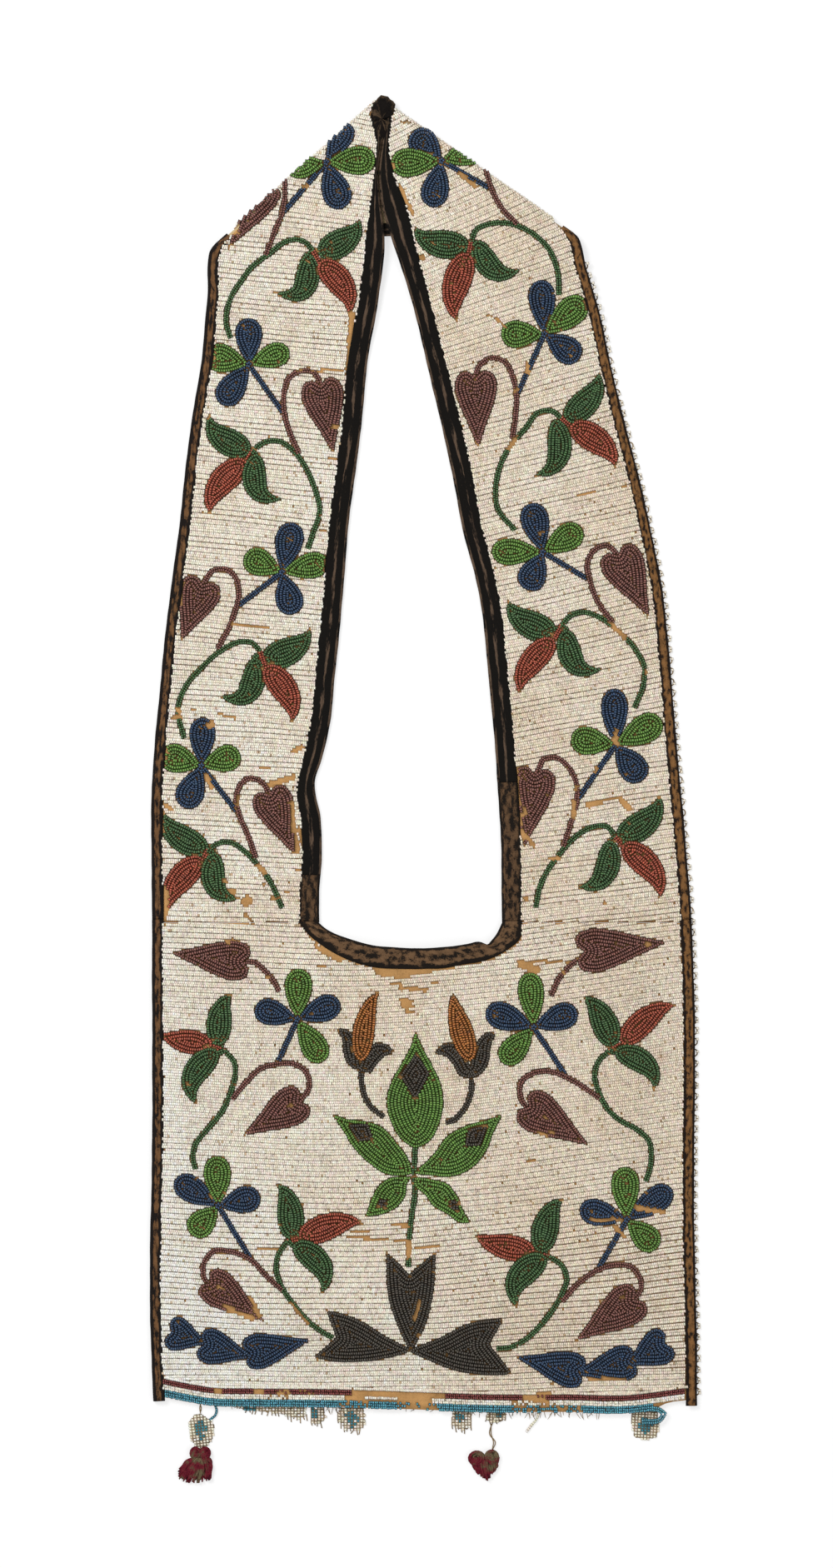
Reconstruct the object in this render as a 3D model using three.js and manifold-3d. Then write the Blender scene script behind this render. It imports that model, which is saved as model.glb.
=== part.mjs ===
// A beaded bandolier bag, lying flat on its back with the strap's fold at the top (+Y) and the fringe
// at the bottom (-Y). Millimetres, +Z up. The origin is under the middle of the bag, on the surface
// that it lies on.
import * as THREE from "three";
import { mergeVertices } from "three/addons/utils/BufferGeometryUtils.js";
import Module from "manifold-3d";

const wasm = await Module();
wasm.setup();

// Thicknesses of the layers, and the room between layers that touch
const CLOTH = 1.2;
const BEADWORK = 2;
const MOTIF = 1;
const RIBBON = 0.8;
const CLEARANCE = 0.3;

// Widths of the ribbon bindings, seen from above
const OUTER_BINDING_WIDTH = 8.2;
const INNER_BINDING_WIDTH = 14;
const CROSSING_BINDING_WIDTH = 9;

// The pocket: how far the front stands off the back at the middle
const POCKET_ROOM = 6;

// The strap is sewn to the pouch on this line, and its right inner ribbon is joined on the other one
const SEAM_Y = -92;
const RIBBON_JOIN_Y = 4;

// Each leg of the strap comes down from the crossing behind it between these lines
const RISE_TOP_Y = 376;
const RISE_FOOT_Y = 300;

// Beaded lines of the floral work
const STEM_WIDTH = 3.6;
const STALK_WIDTH = 3.4;
const FLOWER_EYE_RADIUS = 2.6;

// Rows of beads along the foot of the pouch, and the cloth below them
const RED_ROWS = 3.6;
const WHITE_ROWS = 3;
const TURQUOISE_ROWS = 4.2;
const CLOTH_BELOW_ROWS = 0.5;
const BARE_THREADS = 0.6;

// Picot edging of the right side: a cord with a small loop of beads every PICOT_PITCH
const PICOT_CORD = 1.2;
const PICOT_LOOP = 2;
const PICOT_PITCH = 9;
const PICOT_TOP_Y = 370;

// Woven tabs, threads and wool tassels of the fringe
const TAB_THICKNESS = 1.8;
const THREAD_DIAMETER = 1.1;
const BEAD_STRING_DIAMETER = 2;
const TASSEL_FLATNESS = 0.5;
const TASSEL_FLUTES = 6;
const TASSEL_FLUTE_DEPTH = 0.1;
const TASSEL_TILT = -0.16;

// Edges of the legs, each from the fold at the top downwards. The leg lies on the left of a line that
// has side 1, and on the right of one that has side -1.
const LEFT_OUTER = {
  side: 1,
  line: [
    [-146, 382], [-152, 340], [-156, 300], [-164, 250], [-172, 180], [-180, 120],
    [-186, 60], [-190, 15], [-190.5, -90], [-190.5, -250], [-192, -350], [-190, -416],
  ],
};
const RIGHT_OUTER = {
  side: -1,
  line: [
    [103, 389], [112, 362], [120, 336], [128, 300], [137, 262], [148, 220], [157, 180],
    [165, 138], [170, 90], [174.5, 35], [180, -25], [185, -90], [187, -140], [187, -300],
    [189, -400], [189, -424],
  ],
};
const LEFT_INNER = {
  side: -1,
  line: [
    [-30, 476], [-30, 455], [-33, 430], [-31.5, 408], [-28.5, 383], [-33, 340], [-40, 300],
    [-45, 250], [-53.5, 185], [-58, 130], [-63, 80], [-66, 50], [-72, 22], [-77, 6],
    [-73, -20], [-72, -40], [-74, -75], [-74, SEAM_Y],
  ],
};
const RIGHT_INNER = {
  side: 1,
  line: [
    [-29.4, 476], [-29.4, 455], [-32.4, 430], [-30.9, 408], [-24, 384], [-10, 341], [0, 300],
    [9, 262], [18, 222], [26, 180], [34, 150], [39, 125], [43, 85], [46.5, 50], [49.5, 10],
    [52, -30], [53, SEAM_Y],
  ],
};

// Near the apex the inner bindings narrow, one lying over the other: their bead-side edges there
const LEFT_APEX_SIDE = [
  [-36.5, 478], [-39.5, 470], [-37, 460], [-34.5, 450], [-35, 440], [-37.5, 420], [-41, 390],
];
const RIGHT_APEX_SIDE = [
  [-20.5, 475], [-22, 470], [-25, 450], [-24.5, 440], [-19, 420], [-11.5, 400], [-7, 380],
];
const APEX_FOOT_Y = 350;
const APEX_BINDINGS_TOP_Y = 447;
const APEX_KNOB = [
  [-39.5, 470], [-38, 476], [-34, 481], [-29, 483.4], [-25, 482], [-21, 476], [-22, 468],
  [-24.5, 460], [-26, 452], [-30, 448], [-34.5, 452], [-36.5, 460],
];

// Visible fold lines of the two diagonal folds, each from its outer end to the apex
const LEFT_FOLD = [[-146, 382], [-36, 480]];
const RIGHT_FOLD = [[103, 389], [-21, 475]];

// Edges across the pouch, each from left to right
const POUCH_TOP_Y = SEAM_Y - CLEARANCE;
const MOUTH_UPPER_EDGE = [
  [-74, POUCH_TOP_Y], [-71, -95], [-63, -99.5], [-50, -104], [-40, -107], [-20, -109],
  [10, -109], [30, -106.5], [37, -105], [43, -107.5], [49, -100], [53, POUCH_TOP_Y],
];
const MOUTH_LOWER_EDGE = [
  [-88, POUCH_TOP_Y], [-80, -102], [-72, -108], [-60, -115], [-50, -119], [-40, -122],
  [-20, -124], [0, -124], [12, -123.5], [25, -121], [40, -118.5], [50, -115], [58, -110],
  [66, -103], [67, POUCH_TOP_Y],
];
const WHITE_GROUND_FOOT = [
  [-182, -409], [-165, -412.5], [-150, -415], [-120, -415.8], [-60, -416.5], [0, -418.5],
  [50, -420], [100, -420], [140, -420.5], [177, -416],
];

// Places where the white beads are lost and the cloth shows
const LOST_BEADS_AT_MOUTH = [[-33, -120], [2, -120], [2, -129], [-14, -129], [-33, -129.5]];
const LOST_BEADS_IN_MIDDLE = [[-18, -145], [-9, -145], [-9, -155], [-18, -152]];
const LOST_BEADS_ON_STRAP = { centre: [-125.5, -77], radius: 3.6 };

// Colours
const LINING = 0xb9a27c;
const OCHRE_CLOTH = 0xc48a45;
const WHITE = 0xe1d7c3;
const BLACK_VELVET = 0x2a241f;
const BROWN_VELVET = 0x6b4a2c;
const TAN_RIBBON = 0x966432;
const BLUE = 0x1b3a6b;
const GREEN = 0x3c822a;
const DARK_GREEN = 0x1f4a24;
const RED = 0x8c3c28;
const MAROON = 0x552d2d;
const CHARCOAL = 0x3c3432;
const OCHRE = 0xaa5a23;
const DARK_RED = 0x641e1e;
const TURQUOISE = 0x4696aa;
const WOOL = 0x781a2c;
const THREAD = 0x8a7a5c;

const CLOTH_ROUGHNESS = 0.95;
const RIBBON_ROUGHNESS = 0.85;
const BEAD_ROUGHNESS = 0.35;

// Levels of the layers above the lowest ribbon, on a strap leg
const clothLow = RIBBON + CLEARANCE;
const clothHigh = clothLow + CLOTH;
const flapLow = clothHigh + CLEARANCE;
const flapHigh = flapLow + RIBBON;
const beadHigh = flapLow + BEADWORK;
const motifLow = beadHigh + CLEARANCE;
const motifHigh = motifLow + MOTIF;
const edgeInset = RIBBON + CLEARANCE;

// On the pouch, the front lies over the back cloth
const frontLift = CLOTH + CLEARANCE;

// In the fold, the crossing lies beads down under the two legs
const legRise = BEADWORK + CLEARANCE + CLOTH + CLEARANCE + RIBBON + CLEARANCE;
const foldRadius = (legRise + beadHigh) / 2;

// Closed solids

function toManifold(geometry) {
  const bare = new THREE.BufferGeometry();
  bare.setAttribute("position", geometry.getAttribute("position"));
  if (geometry.index) bare.setIndex(geometry.index);
  const merged = mergeVertices(bare, 1e-4);
  const corners = merged.index.array;
  const kept = [];
  for (let i = 0; i < corners.length; i += 3) {
    const [a, b, c] = [corners[i], corners[i + 1], corners[i + 2]];
    if (a !== b && b !== c && c !== a) kept.push(a, b, c);
  }
  const mesh = new wasm.Mesh({
    numProp: 3,
    vertProperties: merged.attributes.position.array,
    triVerts: new Uint32Array(kept),
  });
  return new wasm.Manifold(mesh);
}

function union(parts) {
  return parts.reduce((whole, part) => whole.add(part));
}

// An upright solid with the outline's shape, from one level to another
function prism(outline, low, high) {
  const shape = new THREE.Shape(outline.map(([x, y]) => new THREE.Vector2(x, y)));
  const geometry = new THREE.ExtrudeGeometry(shape, { depth: high - low, bevelEnabled: false });
  geometry.translate(0, 0, low);
  return toManifold(geometry);
}

// Upright all the way through the bag, for cutting
const BELOW_ALL = -5;
const ABOVE_ALL = 40;

function cutter(outline) {
  return prism(outline, BELOW_ALL, ABOVE_ALL);
}

function rectangle(x0, x1, y0, y1) {
  return [[x0, y0], [x1, y0], [x1, y1], [x0, y1]];
}

// How far cutting outlines run: clear of the bag, past an end that another outline cuts
const BEYOND = 600;
const OVERRUN = 30;
const strapSide = cutter(rectangle(-BEYOND, BEYOND, SEAM_Y, BEYOND));
const pouchSide = cutter(rectangle(-BEYOND, BEYOND, -BEYOND, SEAM_Y));

// The lie of the cloth is a grid of heights. The slab is the closed solid that follows it between two
// levels. Its cells fold along the diagonals that run up to the middle.
function slab({ xs, ys, heightAt }, low, high) {
  const columns = xs.length;
  const rows = ys.length;
  const positions = [];
  for (const level of [low, high])
    ys.forEach((y, j) => xs.forEach((x, i) => positions.push(x, y, heightAt(i, j) + level)));
  const bottom = (i, j) => j * columns + i;
  const top = (i, j) => rows * columns + bottom(i, j);
  const faces = [];
  for (let j = 0; j < rows - 1; j++)
    for (let i = 0; i < columns - 1; i++) {
      const isLeft = i < (columns - 1) / 2;
      const isLower = j < (rows - 1) / 2;
      const cell = [[i, j], [i + 1, j], [i + 1, j + 1], [i, j + 1]];
      const [a, b, c, d] = isLeft === isLower ? cell : [...cell.slice(1), cell[0]];
      faces.push(top(...a), top(...b), top(...c), top(...a), top(...c), top(...d));
      faces.push(bottom(...a), bottom(...c), bottom(...b));
      faces.push(bottom(...a), bottom(...d), bottom(...c));
    }
  const wall = (a, b) => {
    faces.push(bottom(...a), bottom(...b), top(...b), bottom(...a), top(...b), top(...a));
  };
  for (let i = 0; i < columns - 1; i++) {
    wall([i, 0], [i + 1, 0]);
    wall([i + 1, rows - 1], [i, rows - 1]);
  }
  for (let j = 0; j < rows - 1; j++) {
    wall([columns - 1, j], [columns - 1, j + 1]);
    wall([0, j + 1], [0, j]);
  }
  const mesh = new wasm.Mesh({
    numProp: 3,
    vertProperties: new Float32Array(positions),
    triVerts: new Uint32Array(faces),
  });
  return new wasm.Manifold(mesh);
}

const legLie = {
  xs: [-230, 230],
  ys: [-BEYOND, RISE_FOOT_Y, RISE_TOP_Y, BEYOND],
  heightAt: (i, j) => (j >= 2 ? legRise : 0),
};

// The pouch front swells off the back, comes down to it at the sides and the foot, and stays open
// between the ends of the strap
const pouchLie = {
  xs: [-230, -177, -130, -74, -40, 20, 53, 130, 172, 230],
  ys: [-470, -406, -362, -150, SEAM_Y, SEAM_Y + 4],
  heightAt: (i, j) => {
    const isSwollen = j >= 4 ? i === 4 || i === 5 : j >= 2 && i >= 2 && i <= 7;
    return isSwollen ? POCKET_ROOM : 0;
  },
};

// A sheet with the outline's shape that follows the lie
function drape(outline, lie, low, high) {
  return cutter(outline).intersect(slab(lie, low, high));
}

// Lines and bands

function moved([x, y], [dx, dy], distance) {
  return [x + dx * distance, y + dy * distance];
}

function directionOf([x0, y0], [x1, y1]) {
  const length = Math.hypot(x1 - x0, y1 - y0);
  return [(x1 - x0) / length, (y1 - y0) / length];
}

function leftOf([x, y]) {
  return [-y, x];
}

// The line moved sideways: to its left where the distance is positive
function offset(line, distance) {
  return line.map((point, i) => {
    const before = line[Math.max(i - 1, 0)];
    const after = line[Math.min(i + 1, line.length - 1)];
    return moved(point, leftOf(directionOf(before, after)), distance);
  });
}

function inset({ line, side }, distance) {
  return offset(line, side * distance);
}

// The line with both ends carried on straight
function extended(line, distance) {
  const first = moved(line[0], directionOf(line[1], line[0]), distance);
  const last = moved(line.at(-1), directionOf(line.at(-2), line.at(-1)), distance);
  return [first, ...line, last];
}

// The outline between two lines that run the same way
function band(line, otherLine) {
  return [...line, ...[...otherLine].reverse()];
}

// Direction from a fold line into the leg below it
function inwardOf([outerEnd, apexEnd]) {
  const left = leftOf(directionOf(outerEnd, apexEnd));
  return left[1] < 0 ? left : [-left[0], -left[1]];
}

// Everything below a fold line that is moved into the leg by a distance
function belowFold(fold, distance) {
  const inward = inwardOf(fold);
  const line = extended(fold.map((point) => moved(point, inward, distance)), BEYOND);
  const farLine = line.map((point) => moved(point, inward, 2 * BEYOND));
  return cutter(band(line, farLine));
}

// The half turn that joins a leg to the crossing behind it. Short tails run into both.
const FOLD_TAIL = 0.5;

function foldTurn(fold, low, high) {
  const inner = legRise + low - foldRadius;
  const outer = legRise + high - foldRadius;
  const profile = new THREE.Shape();
  profile.moveTo(-FOLD_TAIL, -outer);
  profile.lineTo(0, -outer);
  profile.absarc(0, 0, outer, -Math.PI / 2, Math.PI / 2, false);
  profile.lineTo(-FOLD_TAIL, outer);
  profile.lineTo(-FOLD_TAIL, inner);
  profile.lineTo(0, inner);
  profile.absarc(0, 0, inner, Math.PI / 2, -Math.PI / 2, true);
  profile.lineTo(-FOLD_TAIL, -inner);
  const inward = inwardOf(fold);
  const outward = new THREE.Vector3(-inward[0], -inward[1], 0);
  const up = new THREE.Vector3(0, 0, 1);
  const along = new THREE.Vector3().crossVectors(outward, up);
  const [a, b] = extended(fold, -FOLD_TAIL).slice(1, 3);
  const start = (b[0] - a[0]) * along.x > 0 ? a : b;
  const length = Math.hypot(b[0] - a[0], b[1] - a[1]);
  const overrun = 2 * OUTER_BINDING_WIDTH;
  const geometry = new THREE.ExtrudeGeometry(profile, {
    depth: length + 2 * overrun,
    bevelEnabled: false,
    curveSegments: 4,
  });
  geometry.translate(0, 0, -overrun);
  const placement = new THREE.Matrix4().makeBasis(outward, up, along);
  placement.setPosition(...moved(start, inward, foldRadius), foldRadius);
  geometry.applyMatrix4(placement);
  return toManifold(geometry);
}

// Outlines of the floral work

// A petal: pointed at its base, round at its tip
function petal(base, tip, width) {
  const along = directionOf(base, tip);
  const length = Math.hypot(tip[0] - base[0], tip[1] - base[1]);
  const halfWidth = (t) => 1.3 * width * t * Math.sqrt(1 - t);
  const stations = [0.25, 0.5, 0.72, 0.9];
  const side = (s) =>
    stations.map((t) => moved(moved(base, along, t * length), leftOf(along), s * halfWidth(t)));
  return [base, ...side(-1), tip, ...side(1).reverse()];
}

// A leaf: full near its base, its axis bowed to the left by a distance
function leaf(base, tip, width, bow) {
  const middle = [(base[0] + tip[0]) / 2, (base[1] + tip[1]) / 2];
  const bowed = moved(middle, leftOf(directionOf(base, tip)), 2 * bow);
  const axis = new THREE.QuadraticBezierCurve(
    new THREE.Vector2(...base),
    new THREE.Vector2(...bowed),
    new THREE.Vector2(...tip),
  );
  const halfWidth = (t) => 1.245 * width * t ** 0.5 * (1 - t) ** 0.9;
  const stations = [0.08, 0.3, 0.58, 0.82];
  const side = (s) =>
    stations.map((t) => {
      const { x, y } = axis.getPoint(t);
      const tangent = axis.getTangent(t);
      return moved([x, y], leftOf([tangent.x, tangent.y]), s * halfWidth(t));
    });
  return [base, ...side(-1), tip, ...side(1).reverse()];
}

// A heart: two lobes beside the notch, narrowing to the tip
function heart(notch, tip, width) {
  const along = directionOf(notch, tip);
  const length = Math.hypot(tip[0] - notch[0], tip[1] - notch[1]);
  const lobe = [[-0.09, 0.2], [-0.06, 0.39], [0.1, 0.5], [0.35, 0.42], [0.65, 0.22]];
  const side = (s) =>
    lobe.map(([u, v]) => moved(moved(notch, along, u * length), leftOf(along), s * v * width));
  return [notch, ...side(-1), tip, ...side(1).reverse()];
}

function stem(points, width) {
  return band(offset(points, width / 2), offset(points, -width / 2));
}

function disc(centre, radius, sides) {
  return Array.from({ length: sides }, (_, i) => {
    const turn = (i / sides) * 2 * Math.PI;
    return moved(centre, [Math.cos(turn), Math.sin(turn)], radius);
  });
}

// The bag as a group of named meshes

const bag = new THREE.Group();

function addMesh(name, geometry, colour, roughness) {
  const material = new THREE.MeshStandardMaterial({ color: colour, roughness, metalness: 0 });
  material.flatShading = true;
  if (geometry.getAttribute("color")) {
    material.vertexColors = true;
    material.color.set(0xffffff);
  }
  const mesh = new THREE.Mesh(geometry, material);
  mesh.name = name;
  bag.add(mesh);
}

function addSolid(name, solid, colour, roughness) {
  const { numProp, vertProperties, triVerts } = solid.getMesh();
  const count = vertProperties.length / numProp;
  const columns = (first) => {
    const values = new Float32Array(count * 3);
    for (let i = 0; i < count; i++)
      values.set(vertProperties.subarray(i * numProp + first, i * numProp + first + 3), i * 3);
    return new THREE.BufferAttribute(values, 3);
  };
  const geometry = new THREE.BufferGeometry();
  geometry.setAttribute("position", columns(0));
  if (numProp > 3) geometry.setAttribute("color", columns(3));
  geometry.setIndex(new THREE.BufferAttribute(new Uint32Array(triVerts), 1));
  geometry.computeVertexNormals();
  addMesh(name, geometry, colour, roughness);
}

// The same solid with a colour on each of its vertices
function dyed(solid, colour) {
  const { vertProperties, triVerts } = solid.getMesh();
  const { r, g, b } = new THREE.Color(colour);
  const count = vertProperties.length / 3;
  const properties = new Float32Array(count * 6);
  for (let i = 0; i < count; i++)
    properties.set([...vertProperties.subarray(i * 3, i * 3 + 3), r, g, b], i * 6);
  return new wasm.Manifold(new wasm.Mesh({ numProp: 6, vertProperties: properties, triVerts }));
}

// Coloured shapes as one solid
function joined(shapes) {
  return union(shapes.map(({ solid, colour }) => dyed(solid, colour)));
}

// Strap: one band, folded behind along two diagonals, with a crossing between the folds. The beads
// are on the outside of the fold.

const knobSpace = cutter(offset([...APEX_KNOB, APEX_KNOB[0]], CLEARANCE).slice(0, -1));

// The edge between an inner binding and the beads, from the apex down
function beadSide(edge, apexSide) {
  const below = { side: edge.side, line: edge.line.filter(([, y]) => y < APEX_FOOT_Y) };
  return [...apexSide, ...inset(below, INNER_BINDING_WIDTH)];
}

const leftBeadSide = beadSide(LEFT_INNER, LEFT_APEX_SIDE);
const rightBeadSide = beadSide(RIGHT_INNER, RIGHT_APEX_SIDE);

const leftClothArea = band(
  extended(inset(LEFT_OUTER, edgeInset), OVERRUN),
  extended(inset(LEFT_INNER, edgeInset), OVERRUN),
);
const rightClothArea = band(
  extended(inset(RIGHT_OUTER, edgeInset), OVERRUN),
  extended(inset(RIGHT_INNER, edgeInset), OVERRUN),
);
const beadInset = OUTER_BINDING_WIDTH + CLEARANCE;
const leftBeadArea = band(
  extended(inset(LEFT_OUTER, beadInset), OVERRUN),
  extended(offset(leftBeadSide, LEFT_INNER.side * CLEARANCE), OVERRUN),
);
const rightBeadArea = band(
  extended(inset(RIGHT_OUTER, beadInset), OVERRUN),
  extended(offset(rightBeadSide, RIGHT_INNER.side * CLEARANCE), OVERRUN),
);

function leg(area, fold, low, high) {
  return drape(area, legLie, low, high).intersect(belowFold(fold, foldRadius)).intersect(strapSide);
}

// The crossing behind, between the folds, from a line above its lower edge up to the apex
const CROSSING_LOWER_EDGE = [LEFT_FOLD[0], RIGHT_FOLD[0]];
const CROSSING_REACH = 150;

function crossing(above, low, high) {
  const lower = extended(offset(CROSSING_LOWER_EDGE, above), OVERRUN);
  const upper = lower.map((point) => moved(point, [0, 1], CROSSING_REACH));
  const turnedLow = 2 * foldRadius - legRise - high;
  const turnedHigh = 2 * foldRadius - legRise - low;
  return prism(band(lower, upper), turnedLow, turnedHigh)
    .intersect(belowFold(LEFT_FOLD, foldRadius))
    .intersect(belowFold(RIGHT_FOLD, foldRadius));
}

function strapLayer(leftArea, rightArea, crossingInset, low, high) {
  return union([
    leg(leftArea, LEFT_FOLD, low, high),
    leg(rightArea, RIGHT_FOLD, low, high),
    crossing(crossingInset, low, high),
    foldTurn(LEFT_FOLD, low, high).intersect(cutter(leftArea)),
    foldTurn(RIGHT_FOLD, low, high).intersect(cutter(rightArea)),
  ]).subtract(knobSpace);
}

const strapCloth = strapLayer(leftClothArea, rightClothArea, edgeInset, clothLow, clothHigh);
addSolid("strap_cloth", strapCloth, LINING, CLOTH_ROUGHNESS);

const crossingBeadInset = CROSSING_BINDING_WIDTH + CLEARANCE;
const strapBeads = strapLayer(leftBeadArea, rightBeadArea, crossingBeadInset, flapLow, beadHigh);
const lostOnStrap = disc(LOST_BEADS_ON_STRAP.centre, LOST_BEADS_ON_STRAP.radius, 10);
addSolid("strap_beadwork", strapBeads.subtract(cutter(lostOnStrap)), WHITE, BEAD_ROUGHNESS);

// Ribbon bindings: each wraps an edge of the cloth, with one flap below it and one above. The slot is
// the room that the ribbon leaves for the cloth layers it holds.

function slotOf(edge) {
  const side = (distance) => extended(inset(edge, distance), OVERRUN);
  return band(side(RIBBON), side(OVERRUN));
}

function legBinding(area, edge, fold) {
  return drape(area, legLie, 0, flapHigh)
    .subtract(drape(slotOf(edge), legLie, RIBBON, flapLow))
    .intersect(belowFold(fold, foldRadius))
    .intersect(strapSide)
    .subtract(knobSpace);
}

// An outer binding goes round the fold at its top and holds the front cloth too on the pouch
function outerBinding(edge, fold) {
  const area = band(edge.line, inset(edge, OUTER_BINDING_WIDTH));
  const topArea = band(
    extended(edge.line, OVERRUN),
    extended(inset(edge, OUTER_BINDING_WIDTH), OVERRUN),
  );
  const onPouch = prism(area, 0, flapHigh + frontLift)
    .subtract(prism(slotOf(edge), RIBBON, flapLow + frontLift))
    .intersect(pouchSide);
  const turn = foldTurn(fold, flapLow, flapHigh).intersect(cutter(topArea));
  return union([legBinding(topArea, edge, fold), turn, onPouch]);
}

const leftOuterBinding = outerBinding(LEFT_OUTER, LEFT_FOLD);
addSolid("left_outer_binding", leftOuterBinding, BLACK_VELVET, RIBBON_ROUGHNESS);
const rightOuterBinding = outerBinding(RIGHT_OUTER, RIGHT_FOLD);
addSolid("right_outer_binding", rightOuterBinding, TAN_RIBBON, RIBBON_ROUGHNESS);

// The crossing's binding, turned over with it, ends short of the outer bindings' turns
const crossingFlapHigh = 2 * foldRadius - legRise - clothLow + CLEARANCE + RIBBON;
const crossingFlapLow = 2 * foldRadius - legRise - clothHigh - CLEARANCE - RIBBON;
const crossingEnd = foldRadius + FOLD_TAIL + CLEARANCE;
const crossingSlot = extended(offset(CROSSING_LOWER_EDGE, RIBBON), OVERRUN);
const crossingBinding = prism(
  band(CROSSING_LOWER_EDGE, offset(CROSSING_LOWER_EDGE, CROSSING_BINDING_WIDTH)),
  crossingFlapLow,
  crossingFlapHigh,
)
  .subtract(
    prism(
      band(crossingSlot, crossingSlot.map((point) => moved(point, [0, 1], OVERRUN))),
      crossingFlapLow + RIBBON,
      crossingFlapHigh - RIBBON,
    ),
  )
  .intersect(belowFold(LEFT_FOLD, crossingEnd))
  .intersect(belowFold(RIGHT_FOLD, crossingEnd));
addSolid("crossing_binding", crossingBinding, BLACK_VELVET, RIBBON_ROUGHNESS);

// Inner bindings: the right one is in two lengths
function innerBinding(edge, bead, fold, topY, footY) {
  const area = band(extended(edge.line, 1), extended(bead, 1));
  const length = cutter(rectangle(-BEYOND, BEYOND, footY, topY));
  return legBinding(area, edge, fold).intersect(length);
}

const leftInnerBinding = innerBinding(
  LEFT_INNER, leftBeadSide, LEFT_FOLD, APEX_BINDINGS_TOP_Y, SEAM_Y,
);
const rightInnerUpper = innerBinding(
  RIGHT_INNER, rightBeadSide, RIGHT_FOLD, APEX_BINDINGS_TOP_Y, RIBBON_JOIN_Y,
);
const rightInnerLower = innerBinding(
  RIGHT_INNER, rightBeadSide, RIGHT_FOLD, RIBBON_JOIN_Y - CLEARANCE, SEAM_Y,
);
addSolid("left_inner_binding", leftInnerBinding, BLACK_VELVET, RIBBON_ROUGHNESS);
addSolid("right_inner_binding_upper", rightInnerUpper, BLACK_VELVET, RIBBON_ROUGHNESS);
addSolid("right_inner_binding_lower", rightInnerLower, BROWN_VELVET, RIBBON_ROUGHNESS);

// The knob of ribbon sewn over the apex
const KNOB_BEVEL = 1;
const knobShape = new THREE.Shape(APEX_KNOB.map(([x, y]) => new THREE.Vector2(x, y)));
const knobGeometry = new THREE.ExtrudeGeometry(knobShape, {
  depth: legRise + beadHigh + RIBBON - 2 * KNOB_BEVEL,
  bevelThickness: KNOB_BEVEL,
  bevelSize: KNOB_BEVEL,
  bevelOffset: -KNOB_BEVEL,
  bevelSegments: 2,
});
knobGeometry.translate(0, 0, KNOB_BEVEL);
addSolid("apex_binding", toManifold(knobGeometry), BLACK_VELVET, RIBBON_ROUGHNESS);

// Pouch: a flat back and a swollen front, sewn together at the sides and the foot

const rowsFoot =
  CLEARANCE + RED_ROWS + CLEARANCE + WHITE_ROWS + CLEARANCE + TURQUOISE_ROWS + CLOTH_BELOW_ROWS;
const clothFoot = offset(WHITE_GROUND_FOOT, -rowsFoot);

// The stretch of a downward line between two levels
function stretch(line, topY, footY) {
  const i = line.findIndex(([, y]) => y < topY);
  const [[x0, y0], [x1, y1]] = [line[i - 1], line[i]];
  const start = [x0 + ((x1 - x0) * (topY - y0)) / (y1 - y0), topY];
  return [start, ...line.slice(i).filter(([, y]) => y > footY)];
}

// The pouch's outline from a line across its top down both sides to a line across its foot
function pouchArea(topLine, distance, foot) {
  const left = stretch(inset(LEFT_OUTER, distance), POUCH_TOP_Y, foot[0][1]);
  const right = stretch(inset(RIGHT_OUTER, distance), POUCH_TOP_Y, foot.at(-1)[1]);
  return [...topLine, ...right, ...[...foot].reverse(), ...left.reverse()];
}

const BACK_BELOW_MOUTH = 2;
const backArea = pouchArea(offset(MOUTH_LOWER_EDGE, -BACK_BELOW_MOUTH), edgeInset, clothFoot);
const backCloth = drape(backArea, { ...pouchLie, heightAt: () => 0 }, clothLow, clothHigh);
addSolid("pouch_back_cloth", backCloth.intersect(pouchSide), LINING, CLOTH_ROUGHNESS);

const frontTop = offset(MOUTH_UPPER_EDGE, -edgeInset);
const mouthLeftX = MOUTH_LOWER_EDGE[0][0];
const mouthRightX = MOUTH_LOWER_EDGE.at(-1)[0];
const frontTopLine = [
  [mouthLeftX - CLEARANCE - RIBBON, POUCH_TOP_Y],
  [mouthLeftX - CLEARANCE, POUCH_TOP_Y - edgeInset],
  ...frontTop.slice(1, -1),
  [mouthRightX + CLEARANCE, POUCH_TOP_Y - edgeInset],
  [mouthRightX + CLEARANCE + RIBBON, POUCH_TOP_Y],
];
const frontClothArea = pouchArea(frontTopLine, edgeInset, clothFoot);
const frontCloth = drape(
  frontClothArea, pouchLie, clothLow + frontLift, clothHigh + frontLift,
);
addSolid("pouch_front_cloth", frontCloth, OCHRE_CLOTH, CLOTH_ROUGHNESS);

const frontBeadLow = flapLow + frontLift;
const frontBeadHigh = beadHigh + frontLift;
const beadTopLine = offset(MOUTH_LOWER_EDGE, -CLEARANCE);
const frontBeadArea = pouchArea(beadTopLine, beadInset, WHITE_GROUND_FOOT);
const frontBeads = drape(frontBeadArea, pouchLie, frontBeadLow, frontBeadHigh)
  .intersect(cutter(rectangle(-BEYOND, BEYOND, -BEYOND, POUCH_TOP_Y)))
  .subtract(cutter(LOST_BEADS_AT_MOUTH))
  .subtract(cutter(LOST_BEADS_IN_MIDDLE));
addSolid("pouch_beadwork", frontBeads, WHITE, BEAD_ROUGHNESS);

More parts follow.
